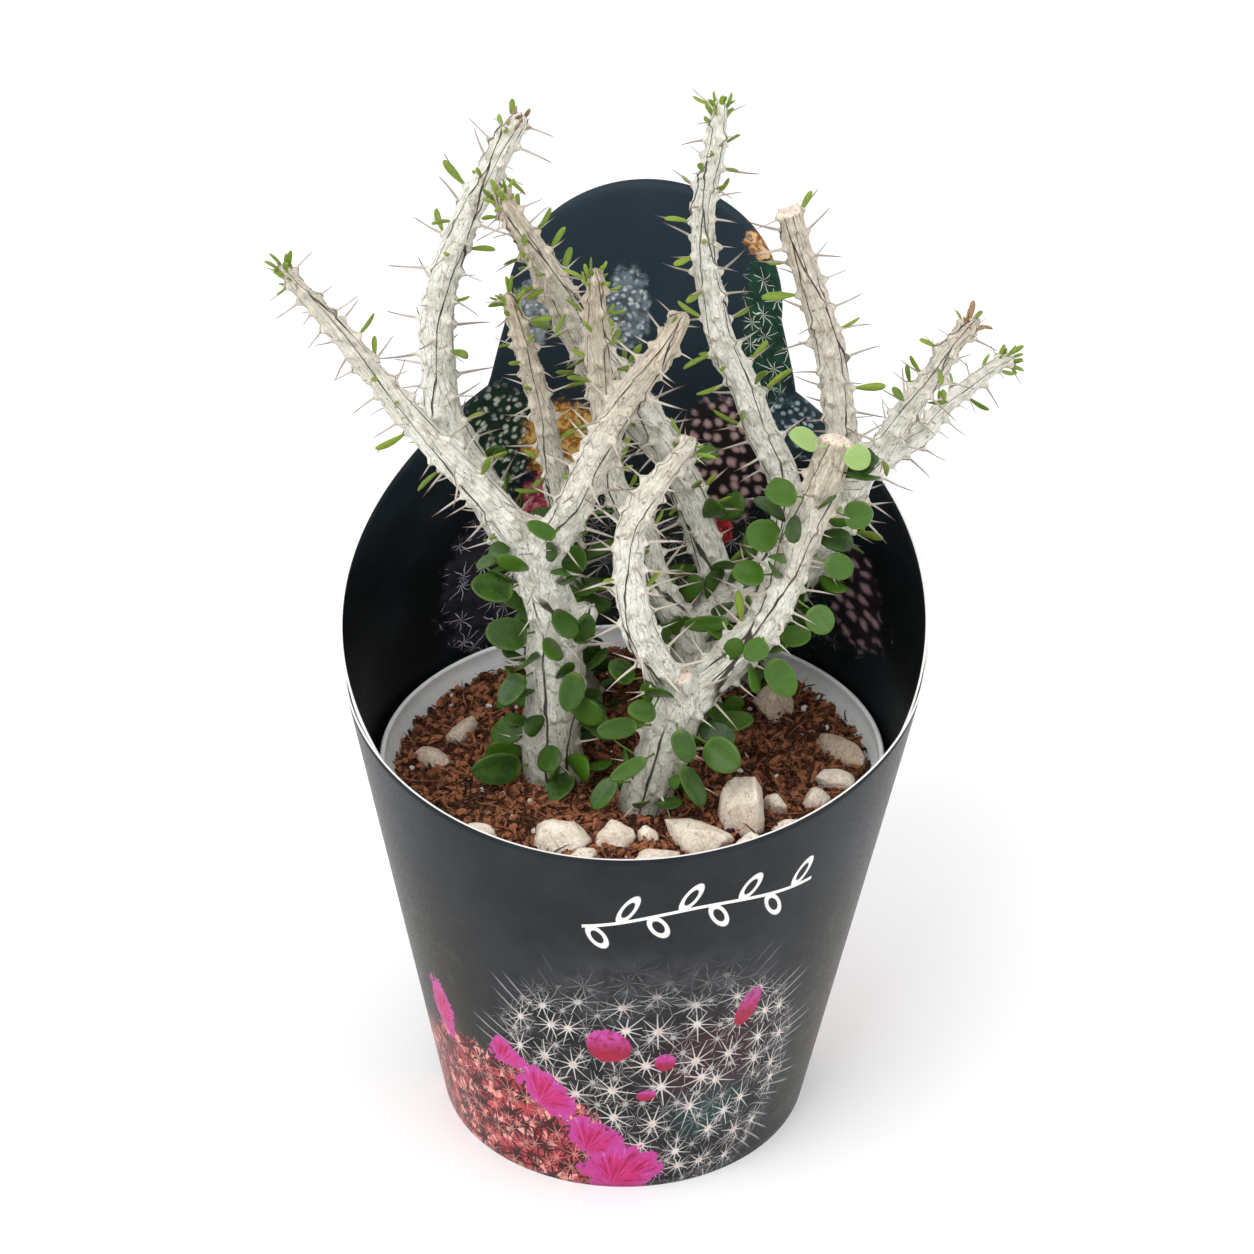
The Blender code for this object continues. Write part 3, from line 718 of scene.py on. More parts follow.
def makeSleeve(values):
    reverse = plainCard("plainReverse", (0.74, 0.73, 0.71))
    cut = plainCard("cutEdge", (0.80, 0.79, 0.77))
    steps = 288
    around = [math.tau * index / steps for index in range(steps)]
    wrap = cardSheet("sleeveWrap", around, True, values["lift"], wrapTop, 0.0, 54,
                     (wrapMaterial(wrapPrint), reverse, cut))
    settle(wrap, "sleeve_card", "sleeve_wrap")
    # columns close together over the dome, where the edge turns quickly
    dome = [values["dome"] * math.sin(math.pi / 2 * index / 40) for index in range(-40, 41)]
    neck = values["neck"]
    flanks = [values["dome"] + (neck - values["dome"]) * index / 6 for index in range(1, 7)]
    dome = [-angle for angle in reversed(flanks)] + dome + flanks
    dome = [angle + values["domeTurn"] for angle in dome]
    count = 80
    outer = values["halfAngle"]
    left = [-outer + (outer + dome[0]) * index / count for index in range(count)]
    right = [dome[-1] + (outer - dome[-1]) * index / count for index in range(1, count + 1)]
    turns = [math.pi - math.radians(angle) for angle in reversed(left + dome + right)]
    card = cardSheet("sleeveBackCard", turns, False, values["cardFoot"], cardTop,
                     values["card"] + values["gap"], 70,
                     (reverse, insideMaterial(insidePictures), cut))
    settle(card, "sleeve_card", "sleeve_back_card")
    print("sleeve made:", len(wrap.data.polygons) + len(card.data.polygons), "faces")


makeSleeve(sleeveValues)

# the cuttings: each shoot is a centre line of (x, y, z, radius) above plantLevel, with how old its
# bark is and how many spines, small leaves and round leaves it bears, from its foot to its tip;
# share makes it thicker or thinner, and what it doesn't bear is left out
plantLevel = 90.0
plants = {
    "stem_front_left": {
        "trunk": dict(share=1.12, age=(0, 0.05), spines=(0.45, 0.6), round=(0.9, 0.6), end="joint",
                      line=[(-18, -6, 0, 6.7), (-19, -6, 12, 6.3), (-18, -6, 23, 6.2),
                            (-18, -5, 34, 6.0), (-18, -5, 44, 5.4), (-20, -6, 52, 4.9),
                            (-22, -7, 59, 5.0), (-23, -7, 66, 4.4)]),
        "prunedStub": dict(age=(0, 0), end="joint",
                           line=[(-17, -5, 34, 4.4), (-13, -6, 42, 4.1), (-11, -7, 46, 3.3)]),
        "outerShoot": dict(share=0.8, age=(0.25, 0.75), spines=(0.85, 1), small=(0.1, 0.25),
                           end="green",
                           line=[(-22, -7, 60, 4.4), (-28, -8, 71, 4.6), (-34, -9, 79, 4.4),
                                 (-44, -12, 92, 3.8), (-53, -15, 106, 3.2), (-61, -18, 119, 2.7),
                                 (-67, -19, 127, 2.2), (-72, -20, 134, 1.5)]),
        "innerShoot": dict(age=(0.3, 1.0), spines=(0.9, 1), small=(0.08, 0.05),
                           end="spiny",
                           line=[(-22, -7, 57, 4.4), (-18, -9, 66, 4.6), (-13, -12, 76, 4.3),
                                 (-9, -15, 87, 4.0), (-5, -17, 97, 3.6), (0, -19, 107, 3.4),
                                 (6, -20, 116, 2.8), (10, -20, 123, 2.1)]),
    },
    "stem_front_right": {
        "trunk": dict(share=1.08, age=(0.1, 0.1), spines=(0.8, 0.7), round=(0.7, 0.4), end="joint",
                      line=[(2, -21, 2, 5.2), (5, -20, 11, 5.4), (8, -19, 20, 5.6),
                            (10, -18, 27, 5.6), (11, -18, 33, 4.8)]),
        "prunedStub": dict(age=(0.1, 0.1), end="cut",
                           line=[(10.5, -19, 27, 4.0), (10.3, -21, 38, 3.4)]),
        "uprightShoot": dict(age=(0.15, 0.75), spines=(0.95, 1), small=(0.05, 0.25),
                             end="spiny",
                             line=[(11, -18, 30, 3.6), (6, -22, 41, 3.8), (2, -25, 51, 3.7),
                                   (0, -27, 61, 3.7), (-1, -28, 71, 3.6), (0, -29, 80, 3.4),
                                   (4, -29, 88, 2.9), (8, -28, 93, 2.4), (12, -27, 98, 1.8)]),
        "leafyShoot": dict(age=(0.2, 0.9), spines=(0.85, 1), small=(0, 0.1), round=(0.1, 0.35),
                           end="healed",
                           line=[(12, -18, 29, 4.4), (18, -16, 35, 4.6), (24, -14, 40, 4.8),
                                 (30, -12, 47, 4.9), (34, -11, 57, 4.9), (37, -9, 66, 4.8),
                                 (41, -8, 76, 4.7), (43, -7, 82, 4.5), (45, -6, 89, 4.2)]),
    },
    "stem_middle": {
        "trunk": dict(share=1.08, age=(0, 0), spines=(0.6, 0.6), round=(1, 1), end="joint",
                      line=[(17, 12, 1, 5.2), (16, 13, 14, 5.0), (14, 14, 25, 4.9),
                            (13, 14, 31, 4.4)]),
        "centreShoot": dict(age=(0.1, 1.0), spines=(0.9, 1), small=(0.25, 0.55), round=(0.7, -0.7),
                            end="green",
                            line=[(14, 14, 29, 4.2), (8, 12, 39, 3.8), (5, 10, 47, 3.5),
                                  (3, 8, 58, 3.3), (-2, 6, 68, 3.2), (-5, 5, 76, 3.1),
                                  (-6, 3, 88, 3.1), (-7, 2, 100, 3.0), (-8, 1, 112, 2.8),
                                  (-8, 0, 125, 2.0)]),
        "tallShoot": dict(age=(0.0, 0.35), spines=(0.85, 1), small=(0.12, 0.6), round=(0.7, -0.9),
                          end="green",
                          line=[(14, 14, 28, 4.2), (20, 17, 35, 4.4), (26, 20, 38, 4.4),
                                (32, 22, 42, 4.4), (36, 24, 49, 4.3), (37, 25, 58, 4.2),
                                (35, 26, 67, 4.1), (30, 27, 77, 3.9), (26, 28, 88, 3.7),
                                (21, 28, 98, 3.5), (18, 28, 109, 3.2), (16, 27, 121, 2.9),
                                (16, 26, 133, 2.8), (18, 25, 145, 2.5), (19, 24, 155, 1.8)]),
        "archingShoot": dict(age=(0.1, 0.95), spines=(0.9, 1), small=(0.25, 0.6), round=(0.7, -0.9),
                             end="green",
                             line=[(22, 18, 36, 4.2), (20, 24, 41, 4.3), (17, 27, 49, 4.2),
                                   (14, 28, 58, 4.1), (10, 28, 68, 3.9), (5, 27, 78, 3.6),
                                   (0, 25, 87, 3.3), (-6, 21, 97, 3.0), (-10, 18, 105, 2.9),
                                   (-15, 14, 116, 2.7), (-20, 10, 126, 2.5), (-25, 7, 135, 2.3),
                                   (-28, 5, 141, 1.8)]),
        "rearShoot": dict(age=(0.5, 1.0), spines=(0.9, 1), small=(0.25, 0.6),
                          end="green",
                          line=[(10, 28, 68, 3.2), (2, 32, 74, 2.9), (-5, 34, 81, 2.8),
                                (-10, 34, 89, 2.6), (-15, 33, 100, 2.4), (-19, 32, 109, 2.3),
                                (-23, 31, 119, 2.2), (-28, 29, 129, 2.0), (-32, 28, 136, 1.6)]),
    },
    "stem_back_left": {
        "trunk": dict(share=1.08, age=(0, 0), spines=(0.5, 0.6), round=(1, 1), end="joint",
                      line=[(-12, 28, 0, 4.8), (-14, 27, 9, 4.6), (-18, 26, 21, 4.5),
                            (-20, 25, 31, 4.3)]),
        "leaningShoot": dict(share=1.08, age=(0.05, 0.5), spines=(0.9, 1), small=(0.15, 0.25),
                             round=(0.7, -0.9), end="dry",
                             line=[(-19, 25, 27, 4.0), (-24, 22, 42, 4.3), (-30, 20, 55, 4.3),
                                   (-35, 19, 66, 4.2), (-40, 18, 76, 4.1), (-43, 17, 85, 4.0),
                                   (-44, 17, 95, 3.7), (-44, 16, 107, 3.5), (-42, 16, 118, 3.1),
                                   (-39, 16, 127, 2.9), (-35, 16, 136, 2.7), (-31, 16, 143, 2.6),
                                   (-28, 16, 149, 2.5), (-25, 16, 154, 2.2)]),
        "shortShoot": dict(age=(0.2, 1.0), spines=(0.9, 1), small=(0.25, 0.55), round=(0.7, -0.9),
                           end="green",
                           line=[(-19, 25, 27, 3.4), (-15, 22, 41, 3.3), (-15, 18, 55, 3.1),
                                 (-17, 14, 67, 3.0), (-19, 12, 80, 2.8), (-21, 10, 92, 2.6),
                                 (-23, 8, 102, 2.4), (-25, 6, 111, 2.2), (-27, 5, 118, 1.7)]),
    },
    "stem_back_right": {
        "trunk": dict(share=1.08, age=(0, 0.1), spines=(0.6, 0.8), small=(0, 0.05),
                      round=(0.8, 0.4), end="joint",
                      line=[(25, 39, 0, 5.0), (30, 37, 14, 4.8), (37, 33, 30, 4.6),
                            (44, 27, 44, 4.5), (49, 22, 56, 4.2)]),
        "cutShoot": dict(age=(0.5, 0.85), spines=(0.9, 1), small=(0.1, 0.1), end="cut",
                         line=[(48, 23, 53, 4.0), (50, 22, 66, 4.0), (49, 24, 76, 3.9),
                               (48, 25, 84, 3.8), (46, 26, 94, 3.7), (43, 26, 105, 3.5),
                               (40, 26, 114, 3.3), (37, 25, 123, 3.1), (35, 24, 131, 2.8)]),
        "outerShoot": dict(age=(0.1, 0.8), spines=(0.9, 1), small=(0.22, 0.4),
                           end="dry",
                           line=[(49, 22, 56, 3.4), (51, 16, 65, 3.4), (54, 12, 75, 3.3),
                                 (58, 10, 82, 3.1), (62, 8, 91, 2.9), (67, 6, 100, 2.6),
                                 (70, 4, 107, 2.4), (74, 2, 113, 1.9)]),
        "sideShoot": dict(age=(0.1, 0.6), spines=(0.9, 1), small=(0.22, 0.4),
                          end="green",
                          line=[(53, 13, 72, 2.9), (61, 17, 76, 2.8), (67, 20, 79, 2.6),
                                (72, 22, 85, 2.3), (78, 23, 90, 2.0), (83, 24, 94, 1.7),
                                (86, 24, 96, 1.4)]),
    },
}
stemValues = dict(sides=16, step=2.0, fineStep=0.7, rootDepth=14.0, voxel=0.5, smoothing=3,
                  share=0.95, ridge=0.8, swelling=0.6, collarHeight=1.35, collarWidth=1.5,
                  spineSpacing=1.5, barkRadius=4.2, barkStretch=0.25)
sideways = (0.3, 0.9, 0.2)
goldenAngle = 2.39996


def smoothLine(points, step):
    # Catmull-Rom samples of (x, y, z, radius) points
    ends = [points[0], *points, points[-1]]
    samples = []
    for before, start, end, after in zip(ends, ends[1:], ends[2:], ends[3:]):
        b, s, e, a = (Vector(point) for point in (before, start, end, after))
        count = max(1, round((e.xyz - s.xyz).length / step))
        for index in range(count):
            t = index / count
            samples.append(0.5 * (2 * s + (e - b) * t + (2 * b - 5 * s + 4 * e - a) * t * t
                                  + (3 * s - b - 3 * e + a) * t ** 3))
    samples.append(Vector(points[-1]))
    return samples


def shootRun(shoot, step, depth=0.0):
    # samples along a shoot with a frame carried along it: (middle, radius, along, side, other, way)
    line, share = list(shoot["line"]), shoot.get("share", stemValues["share"])
    if depth:
        x, y, _, radius = line[0]
        line.insert(0, (x, y, -depth, radius * 0.8))
    points = [point + Vector((0, 0, plantLevel, 0)) for point in smoothLine(line, step)]
    run, side, along = [], None, 0.0
    for index, point in enumerate(points):
        before, after = points[max(0, index - 1)], points[min(len(points) - 1, index + 1)]
        way = (after.xyz - before.xyz).normalized()
        side = (way.cross(Vector(sideways)) if side is None
                else side - way * side.dot(way)).normalized()
        if index:
            along += (point.xyz - points[index - 1].xyz).length
        run.append((point.xyz, point.w * share, along, side.copy(), way.cross(side), way))
    return run


def rawShoot(bm, run, sides, end):
    # a closed tube; a cut end is flat, a healed one a low dome, and other ends are rounded
    rings = [(middle, radius, side, other) for middle, radius, _, side, other, _ in run]
    middle, radius, _, side, other, way = run[-1]
    if end in ("cut", "healed"):
        rings.append((middle + way * 0.5, radius * (0.97 if end == "cut" else 0.8), side, other))
        if end == "healed":
            rings.append((middle + way * 1.1, radius * 0.55, side, other))
    else:
        rings += [(middle + way * radius * math.sin(turn), radius * math.cos(turn), side, other)
                  for turn in (0.5, 0.95, 1.3)]
    loops = []
    for middle, radius, side, other in rings:
        loops.append([bm.verts.new((middle + (side * math.cos(turn) + other * math.sin(turn))
                                    * radius) * mm)
                      for turn in [math.tau * part / sides for part in range(sides)]])
    for lower, upper in zip(loops, loops[1:]):
        for part in range(sides):
            after = (part + 1) % sides
            bm.faces.new((lower[part], lower[after], upper[after], upper[part]))
    bm.faces.new(loops[0][::-1])
    bm.faces.new(loops[-1])


def shootLines(step, tipsOnly=False):
    # every shoot's centre line as edges, with what grows on it as point values
    bm = bmesh.new()
    columns = {name: [] for name in ("girth", "spines", "small", "round", "dry")}
    for shoots in plants.values():
        for shoot in shoots.values():
            run = shootRun(shoot, step)
            length = run[-1][2]
            if tipsOnly:
                if shoot["end"] not in ("green", "spiny", "dry"):
                    continue
                run = [item for item in run if item[2] > length - 3.6]
            previous = None
            for middle, radius, along, _, _, _ in run:
                share = along / length
                corner = bm.verts.new(middle * mm)
                if previous:
                    bm.edges.new((previous, corner))
                previous = corner
                columns["girth"].append(radius * mm * (0.6 if tipsOnly else 1.0))
                for name in ("spines", "small", "round"):
                    first, last = shoot.get(name, (0, 0))
                    columns[name].append(first + (last - first) * share)
                columns["dry"].append(1.0 if shoot["end"] == "dry" else 0.0)
                if tipsOnly:
                    columns["small"][-1] = {"green": 0.9, "spiny": 0.12, "dry": 0.1}[shoot["end"]]
                    columns["spines"][-1] = {"green": 0.3, "spiny": 0.9, "dry": 0.5}[shoot["end"]]
    mesh = meshFrom(bm, "shootLines")
    for name, values in columns.items():
        setAttribute(mesh, name, values)
    return addMesh("shootLines", mesh)


def placesTree():
    # points winding round each shoot at the golden angle, with the way out and the way up it grows
    group, inputs = newGroup("placesOnShoots", [
        ("Spacing", "Float", 0.003), ("Sink", "Float", 0.95), ("Seed", "Int", 1)])
    curve = put(group, "GeometryNodeMeshToCurve", inputs["Geometry"])[0]
    made = put(group, "GeometryNodeCurveToPoints", mode="LENGTH",
               named={"Curve": curve, "Length": inputs["Spacing"]})
    way = made["Tangent"]
    across = vec("NORMALIZE", vec("CROSS_PRODUCT", way, sideways))
    index = put(group, "GeometryNodeInputIndex")[0]
    angle = index * goldenAngle + randomValue(inputs["Seed"], -0.35, 0.35)
    turned = put(group, "ShaderNodeVectorRotate", rotation_type="AXIS_ANGLE",
                 named={"Vector": across, "Axis": way, "Angle": angle})[0]
    points = store(made["Points"], "outward", turned, "FLOAT_VECTOR")
    points = store(points, "growth", way, "FLOAT_VECTOR")
    sunk = stored(group, "girth") * inputs["Sink"]
    points = move(points, Offset=vec("SCALE", stored(group, "outward", "FLOAT_VECTOR"), sunk))
    return closeGroup(group, put(group, "GeometryNodePointsToVertices", points)[0])


def reliefTree():
    # ridges and knobs that follow the bark, slow swellings, and a cone under every spine
    group, inputs = newGroup("barkRelief", [
        ("Spine Places", "Object", None), ("Ridge", "Float", 0.0004), ("Swelling", "Float", 0.0003),
        ("Collar Height", "Float", 0.001), ("Collar Width", "Float", 0.0014)])
    bark = stored(group, "barkPlace", "FLOAT_VECTOR")
    spineInfo = put(group, "GeometryNodeObjectInfo", named={"Object": inputs["Spine Places"]})
    near = put(group, "GeometryNodeProximity", target_element="POINTS",
               named={"Geometry": spineInfo["Geometry"]})
    share = near["Distance"] / inputs["Collar Width"]
    knobs = ramp(noise(vec("MULTIPLY", bark, (1.0, 1.0, 1.6)), 0.42, 1.0), 0.58, 0.76)
    ridges = noise(bark, 0.34, 3.0, 0.6) - 0.5 + knobs
    swell = noise(bark, 0.11, 1.0) - 0.5
    cone = ramp(share, 1.0, 0.0) * inputs["Collar Height"]
    lift = ridges * inputs["Ridge"] + (swell * inputs["Swelling"] + cone)
    normal = put(group, "GeometryNodeInputNormal")[0]
    shape = move(inputs["Geometry"], Offset=vec("SCALE", normal, lift))
    return closeGroup(group, store(shape, "collar", ramp(share, 1.5, 0.3)))


def cellEdges(place, size, inner, outer):
    # thin lines of even width along the borders of flat cells
    distance = flatCells(place, 1.0 / size, feature="DISTANCE_TO_EDGE")["Distance"]
    return ramp(distance, inner / size * 1.6, outer / size * 1.6, 1, 0)


def barkMaterial():
    material, tree, shader = newMaterial("greyBark", Specular_IOR_Level=0.35)
    bark = attribute(tree, "barkPlace", "Vector")
    age, cut, collar = (attribute(tree, name) for name in ("age", "cut", "collar"))
    place = objectPlace(tree)
    # cracks are drawn on the bark unrolled from its front, so the seam is at the back; long ones
    # run up the shoot and finer ones branch between them
    parts = split(bark)
    around = calc("ARCTAN2", parts["X"], parts["Y"]) * stemValues["barkRadius"]
    swayed = warped(xyz(around, parts["Z"], 0.0), 0.22, 3.0, detail=3.0, by=bark)
    long = cellEdges(vec("MULTIPLY", swayed, (1.0, 0.5, 1.0)), 6.2, 0.07, 0.12)
    crack = long * (ramp(noise(bark, 0.16, 2.0), 0.32, 0.42) * attribute(tree, "whole"))
    fine = cellEdges(swayed, 1.9, 0.02, 0.1) * ramp(noise(place, 0.5, 2.0), 0.38, 0.55)
    patches = noise(place, 0.22, 4.0, 0.6)
    grain = noise(bark, 2.2, 4.0, 0.65)
    streak = noise(bark, 1.1, 3.0, 0.6)
    old = mix(ramp(patches, 0.3, 0.56), (0.56, 0.55, 0.47), (0.86, 0.85, 0.775))
    # painted shade: the foot, shaded and damp, is painted darker and greyer
    foot = ramp(split(place)["Z"], 92.0, 136.0, 0.62, 0.0)
    old = mix(foot, old, (0.26, 0.265, 0.2))
    young = mix(ramp(streak, 0.35, 0.7), (0.34, 0.255, 0.165), (0.68, 0.6, 0.48))
    colour = mix(ramp(age + (streak - 0.5) * 0.5, 0.35, 1.1), old, young)
    colour = mix(ramp(grain, 0.52, 0.36) * 0.3, colour, (0.2, 0.18, 0.135))
    wrinkles = ramp(noise(vec("MULTIPLY", bark, (1, 1, 1.9)), 2.6, 4.0, 0.65), 0.56, 0.44)
    colour = mix(wrinkles * 0.26, colour, (0.2, 0.17, 0.12))
    colour = mix(fine * 0.5, colour, (0.13, 0.105, 0.07))
    colour = mix(crack * 0.95, colour, (0.018, 0.012, 0.008))
    # brown specks, and paler bark round the foot of every spine
    specks = ramp(noise(place, 0.8, 2.0, 0.6), 0.64, 0.69)
    colour = mix(specks * 0.7, colour, (0.17, 0.095, 0.035))
    colour = mix(collar * 0.3, colour, (0.62, 0.56, 0.45))
    face = mix(ramp(noise(place, 1.3, 2.0), 0.56, 0.66), (0.78, 0.66, 0.55), (0.46, 0.27, 0.17))
    colour = mix(cut, colour, face)
    height = grain * 0.45 + streak * 0.5 - (crack + fine * 0.3)
    dress(shader, colour, ramp(grain, 0.3, 0.7, 0.62, 0.82), bump(height, 0.55, 0.0005))
    return material


def readVectors(mesh, field):
    found = np.empty(len(mesh.vertices) * 3, np.float32)
    mesh.vertices.foreach_get(field, found)
    return found.reshape(-1, 3)


def nearestSamples(corners, middles, radii, starts, block=4000):
    # each corner's nearest sample, and how far it is from any join: 0 where two shoots meet
    nearest, whole = np.empty(len(corners), int), np.ones(len(corners))
    for start in range(0, len(corners), block):
        some = corners[start:start + block]
        gaps = np.linalg.norm(some[:, None, :] - middles[None], axis=2) - radii[None]
        nearest[start:start + block] = gaps.argmin(1)
        closest = np.sort(np.minimum.reduceat(gaps, starts, axis=1), axis=1)
        whole[start:start + block] = np.clip((closest[:, 1] - closest[:, 0] - 1.0) / 2.5, 0, 1)
    return nearest, whole


def barkAttributes(mesh, runs, values):
    # where a corner is on the bark, how old its bark is, and whether it is on a cut face
    samples = [(shoot, item, run[-1][2]) for shoot, run in runs for item in run]
    starts = np.cumsum([0] + [len(run) for _, run in runs[:-1]])
    middles = np.array([item[0] for _, item, _ in samples])
    radii = np.array([item[1] for _, item, _ in samples])
    along = np.array([item[2] for _, item, _ in samples])
    frames = np.array([[item[3], item[4], item[5]] for _, item, _ in samples])
    lengths = np.array([length for _, _, length in samples])
    ages = np.array([shoot["age"] for shoot, _, _ in samples])
    isCut = np.array([shoot["end"] in ("cut", "healed") for shoot, _, _ in samples])
    corners, normals = readVectors(mesh, "co") / mm, readVectors(mesh, "normal")
    nearest, whole = nearestSamples(corners, middles, radii, starts)
    local = np.einsum("ij,ikj->ik", corners - middles[nearest], frames[nearest])
    outward = local[:, :2] / np.maximum(1e-6, np.linalg.norm(local[:, :2], axis=1))[:, None]
    rise = corners[:, 2] + 0.35 * corners[:, 0] - 0.25 * corners[:, 1]
    barkPlace = np.column_stack([outward * values["barkRadius"], rise * values["barkStretch"]])
    share = (along / lengths)[nearest]
    age = ages[nearest, 0] * (1 - share) + ages[nearest, 1] * share
    facing = np.einsum("ij,ij->i", normals, frames[nearest, 2])
    beyond = along[nearest] + local[:, 2] > lengths[nearest] - 0.25
    setAttribute(mesh, "barkPlace", barkPlace, "FLOAT_VECTOR")
    setAttribute(mesh, "age", age)
    setAttribute(mesh, "cut", (isCut[nearest] & beyond & (facing > 0.55)).astype(float))
    setAttribute(mesh, "whole", whole)


def makeStem(name, shoots, values, material, relief, spinePlaces):
    bm = bmesh.new()
    runs = []
    for label, shoot in shoots.items():
        depth = values["rootDepth"] if label == "trunk" else 0.0
        rawShoot(bm, shootRun(shoot, values["step"], depth), values["sides"], shoot["end"])
        runs.append((shoot, shootRun(shoot, values["fineStep"], depth)))
    stem = addMesh("rawStem", meshFrom(bm, name), material)
    remesh = stem.modifiers.new("joined", "REMESH")
    remesh.mode, remesh.voxel_size, remesh.use_smooth_shade = "VOXEL", values["voxel"] * mm, True
    smooth = stem.modifiers.new("rounded", "SMOOTH")
    smooth.factor, smooth.iterations = 0.5, values["smoothing"]
    stem = baked(stem, "joinedStem")
    barkAttributes(stem.data, runs, values)
    addTree(stem, relief, **{
        "Spine Places": spinePlaces, "Ridge": values["ridge"] * mm,
        "Swelling": values["swelling"] * mm, "Collar Height": values["collarHeight"] * mm,
        "Collar Width": values["collarWidth"] * mm})
    stem = baked(stem, pieceName(name))
    settle(stem, "bark", name)
    print(name, "grown:", len(stem.data.polygons), "faces")


def keptPoints(source, name, attributeName, seed):
    # a copy of the places that keeps only those that pass their own chance
    chances = np.empty(len(source.data.vertices), np.float32)
    source.data.attributes[attributeName].data.foreach_get("value", chances)
    pick = random.Random(seed)
    keep = {index for index, value in enumerate(chances) if pick.random() < value}
    bm = bmesh.new()
    bm.from_mesh(source.data)
    bm.verts.ensure_lookup_table()
    bmesh.ops.delete(bm, geom=[corner for corner in bm.verts if corner.index not in keep],
                     context="VERTS")
    return addMesh(name, meshFrom(bm, name))


def shootPlaces(name, spacing, sink, tipsOnly=False, seed=1):
    lines = shootLines(0.5 if tipsOnly else 2.0, tipsOnly)
    addTree(lines, placesGroup, Spacing=spacing * mm, Sink=sink, Seed=seed)
    return baked(lines, name)


barkSkin = barkMaterial()
placesGroup, reliefGroup = placesTree(), reliefTree()
places = shootPlaces("places", stemValues["spineSpacing"], 0.98)
tipPlaces = shootPlaces("tipPlaces", 0.28, 0.7, tipsOnly=True, seed=4)
spinePlaces = keptPoints(places, "spinePlaces", "spines", 3)
for plantName, plantShoots in plants.items():
    makeStem(plantName, plantShoots, stemValues, barkSkin, reliefGroup, spinePlaces)

# spines: a slim bent cone at every chosen place, finer and closer together at the tips
spineValues = dict(length=9.2, foot=0.46, bend=1.0, sides=6, rings=5, lift=0.12, wander=0.26,
                   tipLength=6.0, tipLift=1.5)


def spineTree():
    group, inputs = newGroup("spines", [
        ("Length", "Float", 0.009), ("Foot", "Float", 0.0005), ("Bend", "Float", 0.001),
        ("Sides", "Int", 6), ("Rings", "Int", 5), ("Lift", "Float", 0.2), ("Wander", "Float", 0.2),
        ("Seed", "Int", 1), ("Material", "Material", None)])
    cone = put(group, "GeometryNodeMeshCone", fill_type="NONE", named={
        "Vertices": inputs["Sides"], "Side Segments": inputs["Rings"], "Radius Top": 0.00005,
        "Radius Bottom": inputs["Foot"], "Depth": inputs["Length"]})["Mesh"]
    here = put(group, "GeometryNodeInputPosition")[0]
    along = split(here)["Z"] / inputs["Length"]
    # a small foot, a shaft of nearly even girth, then a sharp point, with a slight curve
    flare = 0.3 * calc("SUBTRACT", 1.0, along, clamp=True) ** 9.0
    taper = 0.75 + along * 0.5 + flare
    slim = vec("MULTIPLY", here, xyz(taper, taper, 1.0))
    shape = move(cone, Position=vec("ADD", slim, xyz(along ** 2.0 * inputs["Bend"])))
    return placeShapes(group, inputs, store(shape, "along", along), 0.55, 1.15)


def placeShapes(group, inputs, shape, smallest, largest):
    # stand the shape on every point, leaning outwards and a little up the shoot
    seed = inputs["Seed"]
    outward, growth = (stored(group, name, "FLOAT_VECTOR") for name in ("outward", "growth"))
    sway = vec("SCALE", randomValue(seed, (-1, -1, -1), (1, 1, 1)), inputs["Wander"])
    way = vec("ADD", vec("ADD", outward, vec("SCALE", growth, inputs["Lift"])), sway)
    aligned = put(group, "FunctionNodeAlignRotationToVector", axis="Z", named={"Vector": way})[0]
    rolled = put(group, "FunctionNodeRotateRotation", aligned,
                 xyz(0.0, 0.0, randomValue(seed + 11, 0.0, math.tau)), rotation_space="LOCAL")[0]
    # what grows on thin young wood is smaller
    thin = ramp(stored(group, "girth"), 0.0012, 0.0036, 0.6, 1.0)
    stood = put(group, "GeometryNodeInstanceOnPoints", named={
        "Points": inputs["Geometry"], "Instance": shape, "Rotation": rolled,
        "Scale": randomValue(seed + 5, smallest, largest) * thin})[0]
    toned = store(stood, "tone", randomValue(seed + 23), domain="INSTANCE")
    return closeGroup(group, toned, inputs["Material"], smooth=True)


def spineMaterial():
    material, tree, shader = newMaterial("paleSpine", Roughness=0.48, Specular_IOR_Level=0.4)
    along, tone = attribute(tree, "along"), attribute(tree, "tone")
    # bleached low on the old trunks, brown and darker pointed on the young shoots
    high = ramp(split(objectPlace(tree))["Z"], 125.0, 165.0)
    shaft = mix(ramp(tone, 0.35, 0.8), (0.48, 0.43, 0.38), (0.33, 0.27, 0.23))
    shaft = mix(high, (0.62, 0.55, 0.47), shaft)
    colour = mix(ramp(along, 0.02, 0.3), (0.6, 0.53, 0.43), shaft)
    point = ramp(along, 0.55, 0.95) * ramp(high, 0, 1, 0.6, 1.0)
    colour = mix(point, colour, (0.085, 0.042, 0.028))
    dress(shader, colour)
    return material


def growShapes(name, source, tree, **values):
    addTree(source, tree, **values)
    return baked(source, name)


def joinedPiece(name, parts):
    # one plain mesh from several, keeping their point values
    first = parts[0]
    with bpy.context.temp_override(active_object=first, object=first, selected_objects=parts,
                                   selected_editable_objects=parts):
        bpy.ops.object.join()
    first.name = first.data.name = name
    return first


